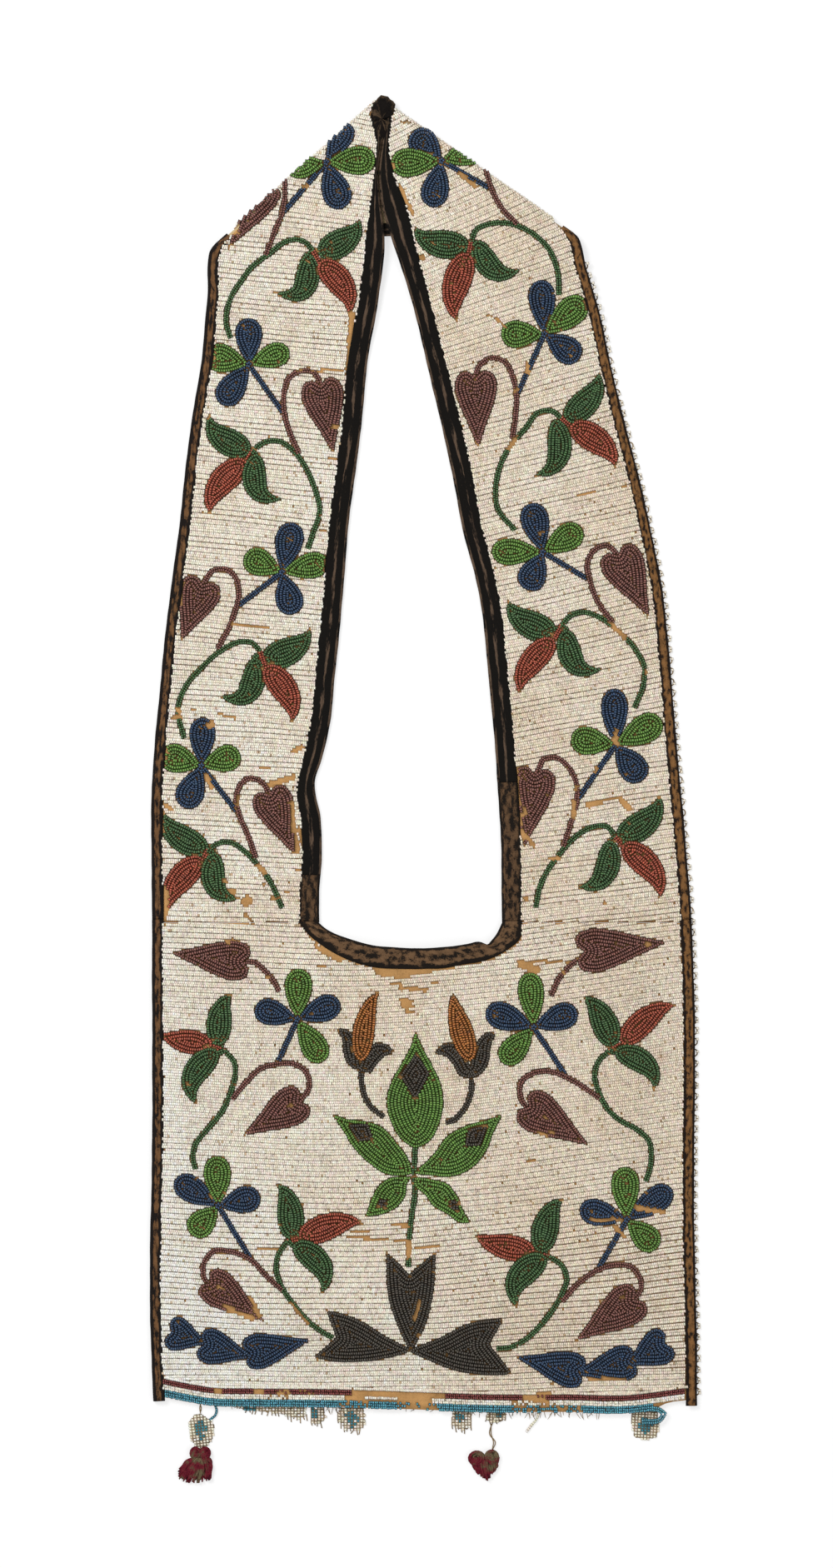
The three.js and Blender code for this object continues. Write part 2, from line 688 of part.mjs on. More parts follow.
const mouthArea = band(MOUTH_UPPER_EDGE, MOUTH_LOWER_EDGE);
const mouthSlotTop = [
  [mouthLeftX - RIBBON, POUCH_TOP_Y - RIBBON],
  ...offset(MOUTH_UPPER_EDGE, -RIBBON).slice(1, -1),
  [mouthRightX + RIBBON, POUCH_TOP_Y - RIBBON],
];
const mouthSlot = [
  ...mouthSlotTop,
  [mouthRightX + RIBBON, POUCH_TOP_Y - BEYOND],
  [mouthLeftX - RIBBON, POUCH_TOP_Y - BEYOND],
];
const mouthBinding = drape(
  mouthArea, pouchLie, clothLow + frontLift - edgeInset, clothHigh + frontLift + edgeInset,
).subtract(
  drape(
    mouthSlot, pouchLie, clothLow + frontLift - CLEARANCE, clothHigh + frontLift + CLEARANCE,
  ),
);
addSolid("mouth_binding", mouthBinding, BROWN_VELVET, RIBBON_ROUGHNESS);

// Rows of beads along the foot, each broken where beads are lost: there the threads are left

function footRow(below, width, spans, breaks) {
  const line = (distance) => offset(WHITE_GROUND_FOOT, -distance);
  const area = band(line(below), line(below + width));
  const row = drape(area, pouchLie, frontBeadLow, frontBeadHigh);
  const threads = drape(area, pouchLie, frontBeadLow + BARE_THREADS, frontBeadHigh + CLEARANCE);
  const within = ([x0, x1]) => cutter(rectangle(x0, x1, -BEYOND, 0));
  const lost = breaks.map((span) => threads.intersect(within(span)));
  return spans.map((span) => lost.reduce((left, gap) => left.subtract(gap), row)
    .intersect(within(span)));
}

const redBreaks = [[-147, -142], [-120, -113], [-104, -94], [68, 83]];
const [redLeft, redRight] = footRow(CLEARANCE, RED_ROWS, [[-180, -52], [14, 176]], redBreaks);
addSolid("red_rows_left", redLeft, DARK_RED, BEAD_ROUGHNESS);
addSolid("red_rows_right", redRight, DARK_RED, BEAD_ROUGHNESS);

const whiteBelow = CLEARANCE + RED_ROWS + CLEARANCE;
const whiteSpans = [[-180, -57], [-42, -20], [5, 176]];
const [whiteLeft, whiteMiddle, whiteRight] = footRow(whiteBelow, WHITE_ROWS, whiteSpans, []);
addSolid("white_rows_left", whiteLeft, WHITE, BEAD_ROUGHNESS);
addSolid("white_rows_middle", whiteMiddle, WHITE, BEAD_ROUGHNESS);
addSolid("white_rows_right", whiteRight, WHITE, BEAD_ROUGHNESS);

// The turquoise rows come loose at the right and curl down
const turquoiseBelow = whiteBelow + WHITE_ROWS + CLEARANCE;
const [turquoiseRow] = footRow(turquoiseBelow, TURQUOISE_ROWS, [[-180, 158]], []);
const TURQUOISE_CURL = [[156, -430.2], [162, -430.6], [166, -433.5], [163, -437.5], [151, -439]];
const turquoiseCurl = drape(
  stem(TURQUOISE_CURL, TURQUOISE_ROWS), pouchLie, frontBeadLow, frontBeadHigh,
);
addSolid("turquoise_rows", turquoiseRow.add(turquoiseCurl), TURQUOISE, BEAD_ROUGHNESS);

// Picot edging: a cord beside the right outer binding, with a small loop at every pitch
function picotOutline() {
  const edge = inset(RIGHT_OUTER, -CLEARANCE).filter(([, y]) => y < PICOT_TOP_Y);
  const path = new THREE.CurvePath();
  edge.slice(1).forEach(([x, y], i) => {
    path.add(new THREE.LineCurve(new THREE.Vector2(...edge[i]), new THREE.Vector2(x, y)));
  });
  const count = Math.round(path.getLength() / PICOT_PITCH) * 2;
  const cord = path.getSpacedPoints(count).map(({ x, y }) => [x, y]);
  const loops = cord.map((point, i) => {
    const around = directionOf(cord[Math.max(i - 1, 0)], cord[Math.min(i + 1, count)]);
    return moved(point, leftOf(around), PICOT_CORD + (i % 2) * PICOT_LOOP);
  });
  return band(edge, loops);
}

const picot = drape(picotOutline(), legLie, CLEARANCE, CLEARANCE + TAB_THICKNESS);
addSolid("right_picot_edging", picot, WHITE, BEAD_ROUGHNESS);

// Fringe: woven tabs, most of them torn, with their threads and two wool tassels

// Each tab hangs from the foot of the cloth, which cuts its upper edge
const hangingLine = offset(WHITE_GROUND_FOOT, -rowsFoot - CLEARANCE);
const belowFoot = cutter(
  band(extended(hangingLine, OVERRUN), rectangle(-BEYOND, BEYOND, -BEYOND, -BEYOND).slice(0, 2)),
);

function addTab(name, outline, diamond) {
  const tab = { solid: prism(outline, 0, TAB_THICKNESS), colour: WHITE };
  const figure = diamond && { solid: prism(diamond, 0, TAB_THICKNESS), colour: TURQUOISE };
  const whole = joined(figure ? [tab, figure] : [tab]);
  addSolid(name, whole.intersect(belowFoot), WHITE, BEAD_ROUGHNESS);
}

function addThread(name, points, diameter, colour) {
  const curve = new THREE.CatmullRomCurve3(
    points.map(([x, y]) => new THREE.Vector3(x, y, diameter / 2 + CLEARANCE)),
  );
  const section = new THREE.Shape(
    disc([0, 0], diameter / 2, 6).map(([x, y]) => new THREE.Vector2(x, y)),
  );
  const geometry = new THREE.ExtrudeGeometry(section, {
    steps: 2 * points.length,
    extrudePath: curve,
    bevelEnabled: false,
  });
  addSolid(name, toManifold(geometry), colour, CLOTH_ROUGHNESS);
}

const HANGING_TAB = [
  [-161, -434], [-156, -434], [-149, -438.5], [-147, -442], [-148, -451], [-153, -456],
  [-160, -456], [-164, -451], [-165, -440],
];
const HANGING_DIAMOND = [[-157, -437], [-151.5, -444.5], [-156, -452.5], [-161.5, -445]];
addTab("left_hanging_tab", HANGING_TAB, HANGING_DIAMOND);
addThread(
  "left_tab_thread", [[-157, -426.5], [-156.5, -430], [-157, -433.7]], THREAD_DIAMETER, THREAD,
);
addThread(
  "left_tab_bead_loop",
  [[-146.5, -427.8], [-145.5, -431.5], [-146.5, -435], [-149.6, -437.6]],
  BEAD_STRING_DIAMETER, TURQUOISE,
);

const TORN_TABS = {
  torn_tab_1: [
    [-136, -425], [-110, -425], [-84, -425], [-82.5, -436], [-90, -438], [-100, -434],
    [-110, -432.5], [-125, -431.5],
  ],
  torn_tab_2: [[-80, -425], [-70.5, -425], [-69.5, -436], [-73, -441], [-80, -440]],
  torn_tab_3: [
    [-61, -425], [-42.5, -425], [-41.5, -440], [-46, -446], [-56, -445], [-61.5, -438],
  ],
  torn_tab_4: [[18.5, -428], [32, -428], [32, -443], [26, -446], [18, -442]],
  torn_tab_5: [[42.5, -428], [57, -428], [56, -438], [46, -440.4], [42, -438]],
};
Object.entries(TORN_TABS).forEach(([name, outline]) => addTab(name, outline));

const RIGHT_TAB = [
  [143.5, -428], [161, -428], [163, -440], [161, -450], [153, -452.5], [145, -450], [143, -440],
];
const RIGHT_DIAMOND = [[152.5, -434.5], [158.5, -442], [153, -449.5], [147, -442]];
addTab("right_tab", RIGHT_TAB, RIGHT_DIAMOND);

const STRING_PATH = [[79, -432.8], [77, -438], [73.5, -442], [70.5, -446]];
addThread("bead_string", STRING_PATH, BEAD_STRING_DIAMETER, WHITE);
addThread(
  "right_tassel_thread", [[46, -440.7], [44.5, -448], [48.5, -454], [46.6, -458.4]],
  THREAD_DIAMETER, THREAD,
);

// A tassel: a bound knot above a fluted skirt of wool, pressed flat where it lies
function addTassel(name, [x, y], length, radius, lean) {
  const half = [
    [0, 0], [0.28, 0.02], [0.44, 0.12], [0.36, 0.25], [0.6, 0.42], [0.9, 0.7], [1, 0.94], [0, 1],
  ];
  const profile = half.map(([r, drop]) => new THREE.Vector2(r * radius, -drop * length)).reverse();
  const geometry = new THREE.LatheGeometry(profile, 2 * TASSEL_FLUTES);
  const position = geometry.getAttribute("position");
  for (let i = 0; i < position.count; i++) {
    const angle = Math.atan2(position.getZ(i), position.getX(i));
    const share = -position.getY(i) / length;
    const flute = 1 + TASSEL_FLUTE_DEPTH * share * Math.cos(TASSEL_FLUTES * angle);
    position.setX(i, position.getX(i) * flute);
    position.setZ(i, position.getZ(i) * flute * TASSEL_FLATNESS);
  }
  geometry.rotateX(TASSEL_TILT);
  geometry.rotateZ(lean);
  geometry.computeBoundingBox();
  geometry.translate(x, y, -geometry.boundingBox.min.z);
  addSolid(name, toManifold(geometry), WOOL, CLOTH_ROUGHNESS);
}

addTassel("left_tassel", [-156.5, -456.1], 26.6, 13, -0.12);
addTassel("right_tassel", [46.4, -458.8], 22.5, 11.5, -0.3);

// Floral work. Each spray is one length of the strap's or the pouch's plant: a flower of four petals on
// its stem, a stalk with a heart-shaped leaf, and a vine with three leaves.

const SPRAYS = {
  left_strap_spray_1: {
    centre: [-69, 436],
    petals: [
      [[-53, 463], 16, BLUE], [[-35, 438], 20, GREEN], [[-58, 404], 20, BLUE],
      [[-96, 431], 16, GREEN],
    ],
    stemEnd: [-98, 401],
    stalk: [[-98, 424], [-98, 410], [-100, 400], [-104, 390], [-111, 372]],
    leaves: [
      [[-75, 373], [-46, 397.5], 20, -4, DARK_GREEN], [[-82, 373], [-106, 346.5], 17, 12, DARK_GREEN],
      [[-74, 367], [-54, 330], 19, 5, RED],
    ],
    vine: [
      [-78, 374], [-83, 380], [-90, 382.5], [-98, 380.5], [-108, 373], [-120, 364], [-128, 354],
      [-134, 345], [-138, 334], [-138.5, 324], [-136, 315],
    ],
  },
  left_strap_spray_2: {
    centre: [-123, 296],
    petals: [
      [[-123, 328], 18.5, BLUE], [[-153, 303], 20, GREEN], [[-95, 306], 17, GREEN],
      [[-142.5, 268.5], 19, BLUE],
    ],
    stemEnd: [-99.5, 259],
    stalk: [
      [-73.7, 283.3], [-78.3, 290.9], [-87.6, 291.4], [-95.7, 285.7], [-98.6, 275.2],
      [-98, 260.7], [-93.4, 246.2], [-88.2, 234.6],
    ],
    heart: [[-73, 281.5], [-64, 234], 29],
    leaves: [
      [[-121.5, 236], [-150.5, 261.5], 19.5, 5, DARK_GREEN],
      [[-124.5, 229], [-149.5, 191.5], 19, -5, RED],
      [[-117, 234], [-98, 203], 17, -11, DARK_GREEN],
    ],
    vine: [
      [-120.6, 235.8], [-111.4, 242.2], [-102.1, 242.7], [-92.8, 236.9], [-83.5, 224.2],
      [-77.1, 209.7], [-73.7, 194], [-78.3, 178.9], [-81.6, 168.5],
    ],
  },
  left_strap_spray_3: {
    centre: [-100, 151.5],
    petals: [
      [[-92, 186], 19.5, BLUE], [[-126, 163], 19, GREEN], [[-68, 159], 18, GREEN],
      [[-92, 122.5], 19, BLUE],
    ],
    stemEnd: [-130.5, 121],
    stalk: [
      [-153.7, 144.7], [-148.5, 152.3], [-140.4, 154], [-132.8, 148.8], [-129.9, 139.5],
      [-131.7, 127.3], [-136.9, 112.8], [-144.4, 98.9],
    ],
    heart: [[-155, 143], [-170, 104], 29],
    leaves: [
      [[-113.5, 90.5], [-80.5, 113], 20, -4, DARK_GREEN],
      [[-119, 92.5], [-145, 66.5], 17, 12, DARK_GREEN],
      [[-112, 86], [-94, 46.5], 19, 5, RED],
    ],
    vine: [
      [-114.8, 96], [-120.6, 102.4], [-129.9, 103], [-142.1, 97.2], [-156, 85], [-167, 72.2],
      [-172.3, 56.6], [-168.2, 36.8],
    ],
  },
  left_strap_spray_4: {
    centre: [-156, 17],
    petals: [
      [[-155, 50.5], 18, BLUE], [[-184, 25], 20, GREEN], [[-129, 25], 18.5, GREEN],
      [[-168, -12], 19.5, BLUE],
    ],
    stemEnd: [-130.5, -20],
    stalk: [
      [-108.5, -3.2], [-114.8, 6.1], [-123, 8.4], [-129.3, 3.2], [-131.7, -3.8],
      [-129.3, -17.7], [-123, -32.8], [-118.3, -46.7],
    ],
    heart: [[-108.5, -3], [-91, -45], 28],
    leaves: [
      [[-151, -42], [-183, -13], 19, 5, DARK_GREEN], [[-154.5, -47.5], [-179, -86], 19, -5, RED],
      [[-146, -43], [-128, -75], 17, -10, DARK_GREEN],
    ],
    vine: [
      [-151.4, -41.5], [-143.8, -36.8], [-135.7, -36.3], [-126.4, -42], [-117.2, -51.3],
      [-108.5, -62.9], [-100.3, -80.9],
    ],
  },
  right_strap_spray_1: {
    centre: [11, 437],
    petals: [
      [[-9, 457], 20, BLUE], [[-24, 435], 20, GREEN], [[4, 405], 19, BLUE], [[40, 446], 18, GREEN],
    ],
    stemEnd: [45, 414],
    stalk: [[41.8, 431], [45.8, 417.3], [53.9, 402.8], [63.2, 393.5]],
    leaves: [
      [[30, 379], [-8, 392], 20, 5, DARK_GREEN], [[35, 382], [67, 363], 17, -9.5, DARK_GREEN],
      [[30, 373], [22, 326], 20, -4, RED],
    ],
    vine: [
      [31.3, 380.2], [35.4, 389.5], [45.8, 393.5], [58, 393.5], [72.5, 387.7], [85.3, 376.1],
      [91.6, 360.5], [92.6, 345],
    ],
  },
  right_strap_spray_2: {
    centre: [82.5, 317],
    petals: [
      [[80, 354.5], 18.5, BLUE], [[111, 341], 20, GREEN], [[52.5, 317], 19, GREEN],
      [[107, 300], 19, BLUE],
    ],
    stemEnd: [66, 277],
    stalk: [
      [34.8, 288], [37.7, 295.5], [47, 300.7], [55.1, 297.8], [60.9, 286.2], [63.2, 274],
      [62.6, 260.7], [60.3, 245],
    ],
    heart: [[34.8, 287], [36.5, 238], 29],
    leaves: [
      [[97, 257.5], [120, 291], 19, -4, DARK_GREEN], [[90, 258], [74, 219], 17, 10, DARK_GREEN],
      [[100.5, 253.5], [132, 224], 19.5, 4, RED],
    ],
    vine: [
      [94.5, 258.4], [88.2, 263.6], [78.9, 263], [69.6, 252], [59.2, 239.8], [52.2, 226.5],
      [48.7, 210.8], [49.9, 196.3], [61.5, 181.5],
    ],
  },
  right_strap_spray_3: {
    centre: [81.5, 165.5],
    petals: [
      [[73, 199.5], 19.5, BLUE], [[46, 166], 18.5, GREEN], [[108.5, 182], 19, GREEN],
      [[70, 139.5], 19.5, BLUE],
    ],
    stemEnd: [116, 138.5],
    stalk: [
      [132.8, 164.4], [125.9, 170.2], [117.7, 167.3], [112.5, 158], [114.3, 145.9],
      [119.5, 131.4], [129.9, 116.9],
    ],
    heart: [[134, 163.5], [155.5, 120.5], 30],
    leaves: [
      [[91, 109], [57.5, 133], 20, 4.5, DARK_GREEN], [[89.5, 105], [65.5, 66.5], 18, -4, RED],
      [[98, 112], [124, 85], 17, -10.5, DARK_GREEN],
    ],
    vine: [
      [94.5, 114.5], [100.9, 121.5], [109, 123.8], [121.8, 119.8], [134, 110.5], [145.6, 98.3],
      [152, 85.6], [151.4, 73.4], [145.4, 58],
    ],
  },
  right_strap_spray_4: {
    centre: [132, 31.5],
    petals: [
      [[131, 70.5], 18.5, BLUE], [[101, 36], 19.5, GREEN], [[164, 49], 20, GREEN],
      [[151, 7], 20, BLUE],
    ],
    stemEnd: [108, -11],
    stalk: [
      [77.7, 12.5], [82.4, 21.8], [91.6, 22.3], [99.2, 16], [105, 3.8], [105, -7.3],
      [100.3, -25.2], [95.7, -38.6],
    ],
    heart: [[76, 11], [68.5, -40], 30],
    leaves: [
      [[133, -33.5], [162.5, -3], 20, -5, DARK_GREEN],
      [[128, -34.5], [104, -67], 17, 9.5, DARK_GREEN],
      [[136.5, -38], [162.5, -75.5], 19, 5.5, RED],
    ],
    vine: [
      [132.2, -32.8], [125.9, -25.2], [117.2, -25.2], [105, -31.6], [94.5, -42.6],
      [84.7, -56], [79.5, -67], [76.6, -80.9],
    ],
  },
  left_pouch_spray_1: {
    centre: [-89, -159],
    petals: [
      [[-88, -124], 19, GREEN], [[-118.5, -151], 18, BLUE], [[-59.5, -147], 18, BLUE],
      [[-71, -188], 18.5, GREEN],
    ],
    stemEnd: [-108, -190],
    stalk: [
      [-87, -214.9], [-80.6, -203.9], [-83, -195.2], [-91.6, -190], [-103.2, -190],
      [-115, -193.4], [-124, -202], [-134, -213.7],
    ],
    heart: [[-88, -216], [-126.5, -239.5], 27],
    leaves: [
      [[-144, -177.5], [-134, -141], 18, 3, DARK_GREEN],
      [[-148, -177.5], [-184.5, -168.5], 17, 0.5, RED],
      [[-144, -181], [-158, -219], 18, -8.5, DARK_GREEN],
    ],
    vine: [
      [-139.8, -180.7], [-132.8, -188.8], [-132.2, -197.5], [-135.1, -209], [-140.4, -221.3],
      [-151.4, -235.2], [-160, -246.2], [-161.8, -254.9], [-160.2, -262.5],
    ],
  },
  left_pouch_spray_2: {
    centre: [-144, -288.5],
    petals: [
      [[-174, -270.5], 18.5, BLUE], [[-145, -254], 19, GREEN], [[-115, -281.5], 18.5, BLUE],
      [[-163, -308.5], 18.5, GREEN],
    ],
    stemEnd: [-121.5, -325],
    stalk: [
      [-151.4, -342], [-154.3, -329.2], [-145.6, -319.3], [-136.3, -319.9], [-120.6, -326.3],
      [-111.4, -336.1], [-99.8, -346.6],
    ],
    heart: [[-149.5, -342], [-111.5, -369], 26],
    leaves: [
      [[-93, -312], [-103.5, -273], 19, -3, DARK_GREEN], [[-88, -311], [-43.5, -300.5], 19, 2.5, RED],
      [[-92, -315], [-73, -350], 18, 8, DARK_GREEN],
    ],
    vine: [
      [-95.7, -312.9], [-102.7, -323.4], [-103.8, -330.9], [-99.8, -344.8], [-89.9, -358.7],
      [-79.5, -370.3], [-72.5, -375.5], [-65, -379.8],
    ],
  },
  right_pouch_spray_1: {
    centre: [75, -164.5],
    petals: [
      [[72, -126.5], 18, GREEN], [[42, -152.5], 19, BLUE], [[105, -153], 18.5, BLUE],
      [[53, -189], 18, GREEN],
    ],
    stemEnd: [98.5, -198],
    stalk: [
      [70.2, -219.5], [65.5, -211.4], [66.1, -202.7], [74.8, -196.3], [87, -195.2],
      [98, -199.2], [109, -205.6], [120.6, -213.7],
    ],
    heart: [[71.5, -219.5], [113.5, -246.5], 29],
    leaves: [
      [[130, -178], [108.5, -143.5], 19, -3, DARK_GREEN], [[136, -176], [174, -149.5], 18, 3, RED],
      [[131, -181], [158.5, -209.5], 17, 7.5, DARK_GREEN],
    ],
    vine: [
      [127.6, -180.7], [120, -188.2], [117.2, -198], [120, -209], [125.9, -220.7],
      [134.6, -228.8], [147.9, -236.4], [155.4, -244.5], [156.6, -252.6], [156, -261.9],
      [153, -271],
    ],
  },
  right_pouch_spray_2: {
    centre: [139.5, -298],
    petals: [
      [[138, -261.5], 19.5, GREEN], [[107, -290], 18, BLUE], [[171, -277], 18, BLUE],
      [[161, -318], 18.5, GREEN],
    ],
    stemEnd: [121.5, -328],
    stalk: [
      [145.6, -352.4], [149.6, -345.4], [148.5, -337.9], [142.7, -330.9], [131.7, -329.2],
      [118.9, -333.2], [105.6, -342.5], [95.1, -354],
    ],
    heart: [[145, -353.5], [104, -382], 29],
    leaves: [
      [[80.5, -321], [96, -283.5], 19, 3.5, DARK_GREEN], [[76, -321], [34.5, -308], 18, 1, RED],
      [[84, -324], [64.5, -360], 19, -8.5, DARK_GREEN],
    ],
    vine: [
      [85.3, -323.4], [94, -329.2], [98, -339], [95.1, -348.3], [89.3, -358.7],
      [80.6, -370.3], [69, -381.4], [57.4, -387.2], [50, -387.6],
    ],
  },
};

// Where each flat shape of the floral work lies: over the strap's beads or over the pouch's
const onLeftLeg = leg(leftBeadArea, LEFT_FOLD, motifLow, motifHigh);
const onRightLeg = leg(rightBeadArea, RIGHT_FOLD, motifLow, motifHigh);
const onPouch = drape(
  pouchArea(beadTopLine, beadInset, WHITE_GROUND_FOOT),
  pouchLie, motifLow + frontLift, motifHigh + frontLift,
);

function addFloral(name, shapes, ground) {
  const solids = shapes.map(([outline, colour]) => ({
    solid: cutter(outline).intersect(ground),
    colour,
  }));
  addSolid(name, joined(solids), WHITE, BEAD_ROUGHNESS);
}

function sprayShapes({ centre, petals, stemEnd, stalk, heart: heartLeaf, leaves, vine }) {
  const distanceTo = (point) => Math.hypot(point[0] - stemEnd[0], point[1] - stemEnd[1]);
  const stemFoot = stalk.reduce((near, point) => (distanceTo(point) < distanceTo(near) ? point : near));
  const shapes = [
    [stem(vine, STALK_WIDTH), DARK_GREEN],
    [stem([centre, stemFoot], STEM_WIDTH), BLUE],
  ];
  for (const [tip, width, colour] of petals) shapes.push([petal(centre, tip, width), colour]);
  shapes.push([disc(centre, FLOWER_EYE_RADIUS, 6), BLUE]);
  if (heartLeaf) {
    const [notch, tip, width] = heartLeaf;
    const rooted = moved(notch, directionOf(notch, tip), STALK_WIDTH);
    shapes.push([heart(notch, tip, width), MAROON], [stem([rooted, ...stalk], STALK_WIDTH), MAROON]);
  } else shapes.push([stem(stalk, STALK_WIDTH), MAROON]);
  for (const [base, tip, width, bow, colour] of leaves) {
    const rooted = moved(base, directionOf(base, tip), STALK_WIDTH);
    shapes.push([stem([vine[0], rooted], STALK_WIDTH), colour]);
    shapes.push([leaf(base, tip, width, bow), colour]);
  }
  return shapes;
}

for (const [name, spray] of Object.entries(SPRAYS)) {
  const ground = name.includes("pouch") ? onPouch : spray.centre[0] < -60 ? onLeftLeg : onRightLeg;
  addFloral(name, sprayShapes(spray), ground);
}

addFloral("left_top_heart_leaf", [[heart([-124, 424], [-137, 375], 20), MAROON]], onLeftLeg);
addFloral(
  "left_heart_leaf_sprig",
  [
    [heart([-127, -119], [-178, -113], 27), MAROON],
    [stem([[-129, -119], [-118, -120], [-112, -125], [-106, -132], [-102, -139]], STALK_WIDTH), MAROON],
  ],
  onPouch,
);
addFloral(
  "right_heart_leaf_sprig",
  [
    [heart([110, -112], [168, -105.5], 30), MAROON],
    [stem([[114, -112], [107, -117], [100, -122], [93, -130], [87, -142]], STALK_WIDTH), MAROON],
  ],
  onPouch,
);

// The plant in the middle: a large bud with a dark diamond, four spotted leaves and a stem
addFloral(
  "middle_plant",
  [
    [stem([[-7, -244], [-8, -265], [-7.5, -280], [-10, -297], [-11.5, -312], [-12, -330]],
      STEM_WIDTH), DARK_GREEN],
    [[
      [-66, -224], [-55, -228], [-40, -230], [-30, -234], [-20, -245], [-12, -256], [-9, -266],
      [-13, -267], [-28, -266], [-40, -258], [-50, -248], [-58, -235],
    ], GREEN],
    [[[-54, -232], [-40, -231], [-36, -242], [-46, -244]], CHARCOAL],
    [[
      [54, -224], [48, -235], [42, -250], [32, -262], [18, -268], [2, -267], [-9, -266],
      [6, -252], [15, -240], [30, -232], [45, -228],
    ], GREEN],
    [[[27, -247], [38, -247], [43, -232.5], [30, -236]], CHARCOAL],
    [[
      [-42, -296], [-38, -285], [-33, -275], [-25, -269], [-14, -268], [-8, -268], [-12.5, -272],
      [-14, -281], [-20, -289], [-30, -294],
    ], GREEN],
    [[[-33, -284], [-27, -284], [-27, -290], [-33, -290]], CHARCOAL],
    [[
      [32, -300], [24, -300], [15, -294], [5, -288], [-1, -280], [-8, -274], [-8, -268], [5, -270],
      [15, -273], [22, -282], [28, -295],
    ], GREEN],
    [[[17, -284], [23, -285], [23, -293], [16, -290]], CHARCOAL],
    [[
      [-7, -165.5], [-10, -177], [-17, -190], [-24, -203], [-27, -215], [-24, -230], [-17, -242],
      [-7, -248], [3, -243], [9, -232], [12, -215], [10, -203], [4, -190], [-3, -177],
    ], GREEN],
    [[[-7, -182], [-18, -198], [-7, -215.5], [3, -196]], CHARCOAL],
  ],
  onPouch,
);

// Three dark leaves like arrowheads that meet at the plant's foot
addFloral(
  "charcoal_leaves",
  [
    [[
      [-27, -320], [-27, -340], [-25, -355], [-20, -370], [-10.5, -391], [0, -370], [5, -350],
      [7, -320], [-11.5, -336],
    ], CHARCOAL],
    [[
      [-69, -361], [-55, -364], [-42, -370], [-28, -379], [-8, -389], [-25, -394], [-45, -397],
      [-62, -397], [-78, -394], [-62, -380],
    ], CHARCOAL],
    [[
      [-13, -389], [10, -380], [30, -370], [54.5, -366], [44, -384.5], [60.5, -406], [45, -406.5],
      [20, -403], [2, -396],
    ], CHARCOAL],
  ],
  onPouch,
);

// Two buds like tulips beside the large bud
addFloral(
  "left_tulip",
  [
    [stem([[-45, -192], [-44, -206], [-40, -217], [-34, -223], [-29.5, -226]], STEM_WIDTH), CHARCOAL],
    [leaf([-45, -184], [-31.5, -139.5], 15.5, 3), OCHRE],
    [[
      [-62, -165], [-53, -167], [-48, -176], [-46, -192], [-42, -182], [-36, -176], [-28, -176],
      [-21, -182], [-28, -184], [-34, -190], [-38, -196], [-45, -195], [-53, -191], [-57, -181],
      [-58, -173],
    ], CHARCOAL],
  ],
  onPouch,
);
addFloral(
  "right_tulip",
  [
    [stem([[31.5, -195], [31, -212], [26, -222], [19, -229], [14.5, -230.5]], STEM_WIDTH), CHARCOAL],
    [leaf([31, -184], [19, -140], 16.5, 0), OCHRE],
    [[
      [6, -183], [12, -176.5], [20, -176], [26, -182], [31, -192], [33, -182], [37, -173],
      [43, -168], [49, -169], [45, -177], [44, -187], [40, -195], [33, -199.5], [24, -198],
      [19, -190], [13, -184],
    ], CHARCOAL],
  ],
  onPouch,
);

// Rows of three blue heart-shaped leaves in the lower corners
addFloral(
  "left_blue_heart_leaves",
  [
    [heart([-177, -376.5], [-151, -384.5], 24), BLUE],
    [heart([-154, -385], [-119, -394], 25), BLUE],
    [heart([-122, -391], [-79.5, -381.5], 25), BLUE],
  ],
  onPouch,
);
addFloral(
  "right_blue_heart_leaves",
  [
    [heart([166.5, -384.5], [138, -400], 26), BLUE],
    [heart([142, -397], [102, -406], 25), BLUE],
    [heart([106, -404], [62, -393.5], 25), BLUE],
  ],
  onPouch,
);

export default bag;
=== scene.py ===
import bpy, math
import numpy as np
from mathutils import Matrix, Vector


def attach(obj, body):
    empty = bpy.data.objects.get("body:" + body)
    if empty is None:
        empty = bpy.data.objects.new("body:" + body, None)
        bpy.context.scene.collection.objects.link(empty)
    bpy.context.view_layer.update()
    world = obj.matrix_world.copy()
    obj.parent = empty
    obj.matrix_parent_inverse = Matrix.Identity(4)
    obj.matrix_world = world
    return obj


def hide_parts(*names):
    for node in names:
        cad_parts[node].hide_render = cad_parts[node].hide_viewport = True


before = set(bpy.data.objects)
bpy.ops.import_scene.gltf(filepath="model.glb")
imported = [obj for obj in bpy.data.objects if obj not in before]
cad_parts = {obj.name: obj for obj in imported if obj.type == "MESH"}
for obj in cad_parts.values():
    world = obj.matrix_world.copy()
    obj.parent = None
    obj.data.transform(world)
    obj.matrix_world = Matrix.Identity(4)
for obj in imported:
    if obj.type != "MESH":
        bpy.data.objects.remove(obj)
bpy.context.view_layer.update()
bpy.ops.object.select_all(action="DESELECT")
rng = np.random.default_rng(41)

# Camera: it looks straight down on the bag, with the fold of the strap at the top of the picture, and
# takes in what the photograph does, 0.58 mm to its pixel.
PICTURE_HEIGHT = 1882 * 0.00058
CAMERA_PLACE = (-0.00638, 0.00435, 3.4)
bpy.ops.object.camera_add(location=CAMERA_PLACE, rotation=(0, 0, 0))
camera = bpy.context.object
camera.data.sensor_fit = "VERTICAL"
camera.data.sensor_height = 36
camera.data.lens = 36 * CAMERA_PLACE[2] / PICTURE_HEIGHT
camera.data.clip_end = 20
bpy.context.scene.camera = camera

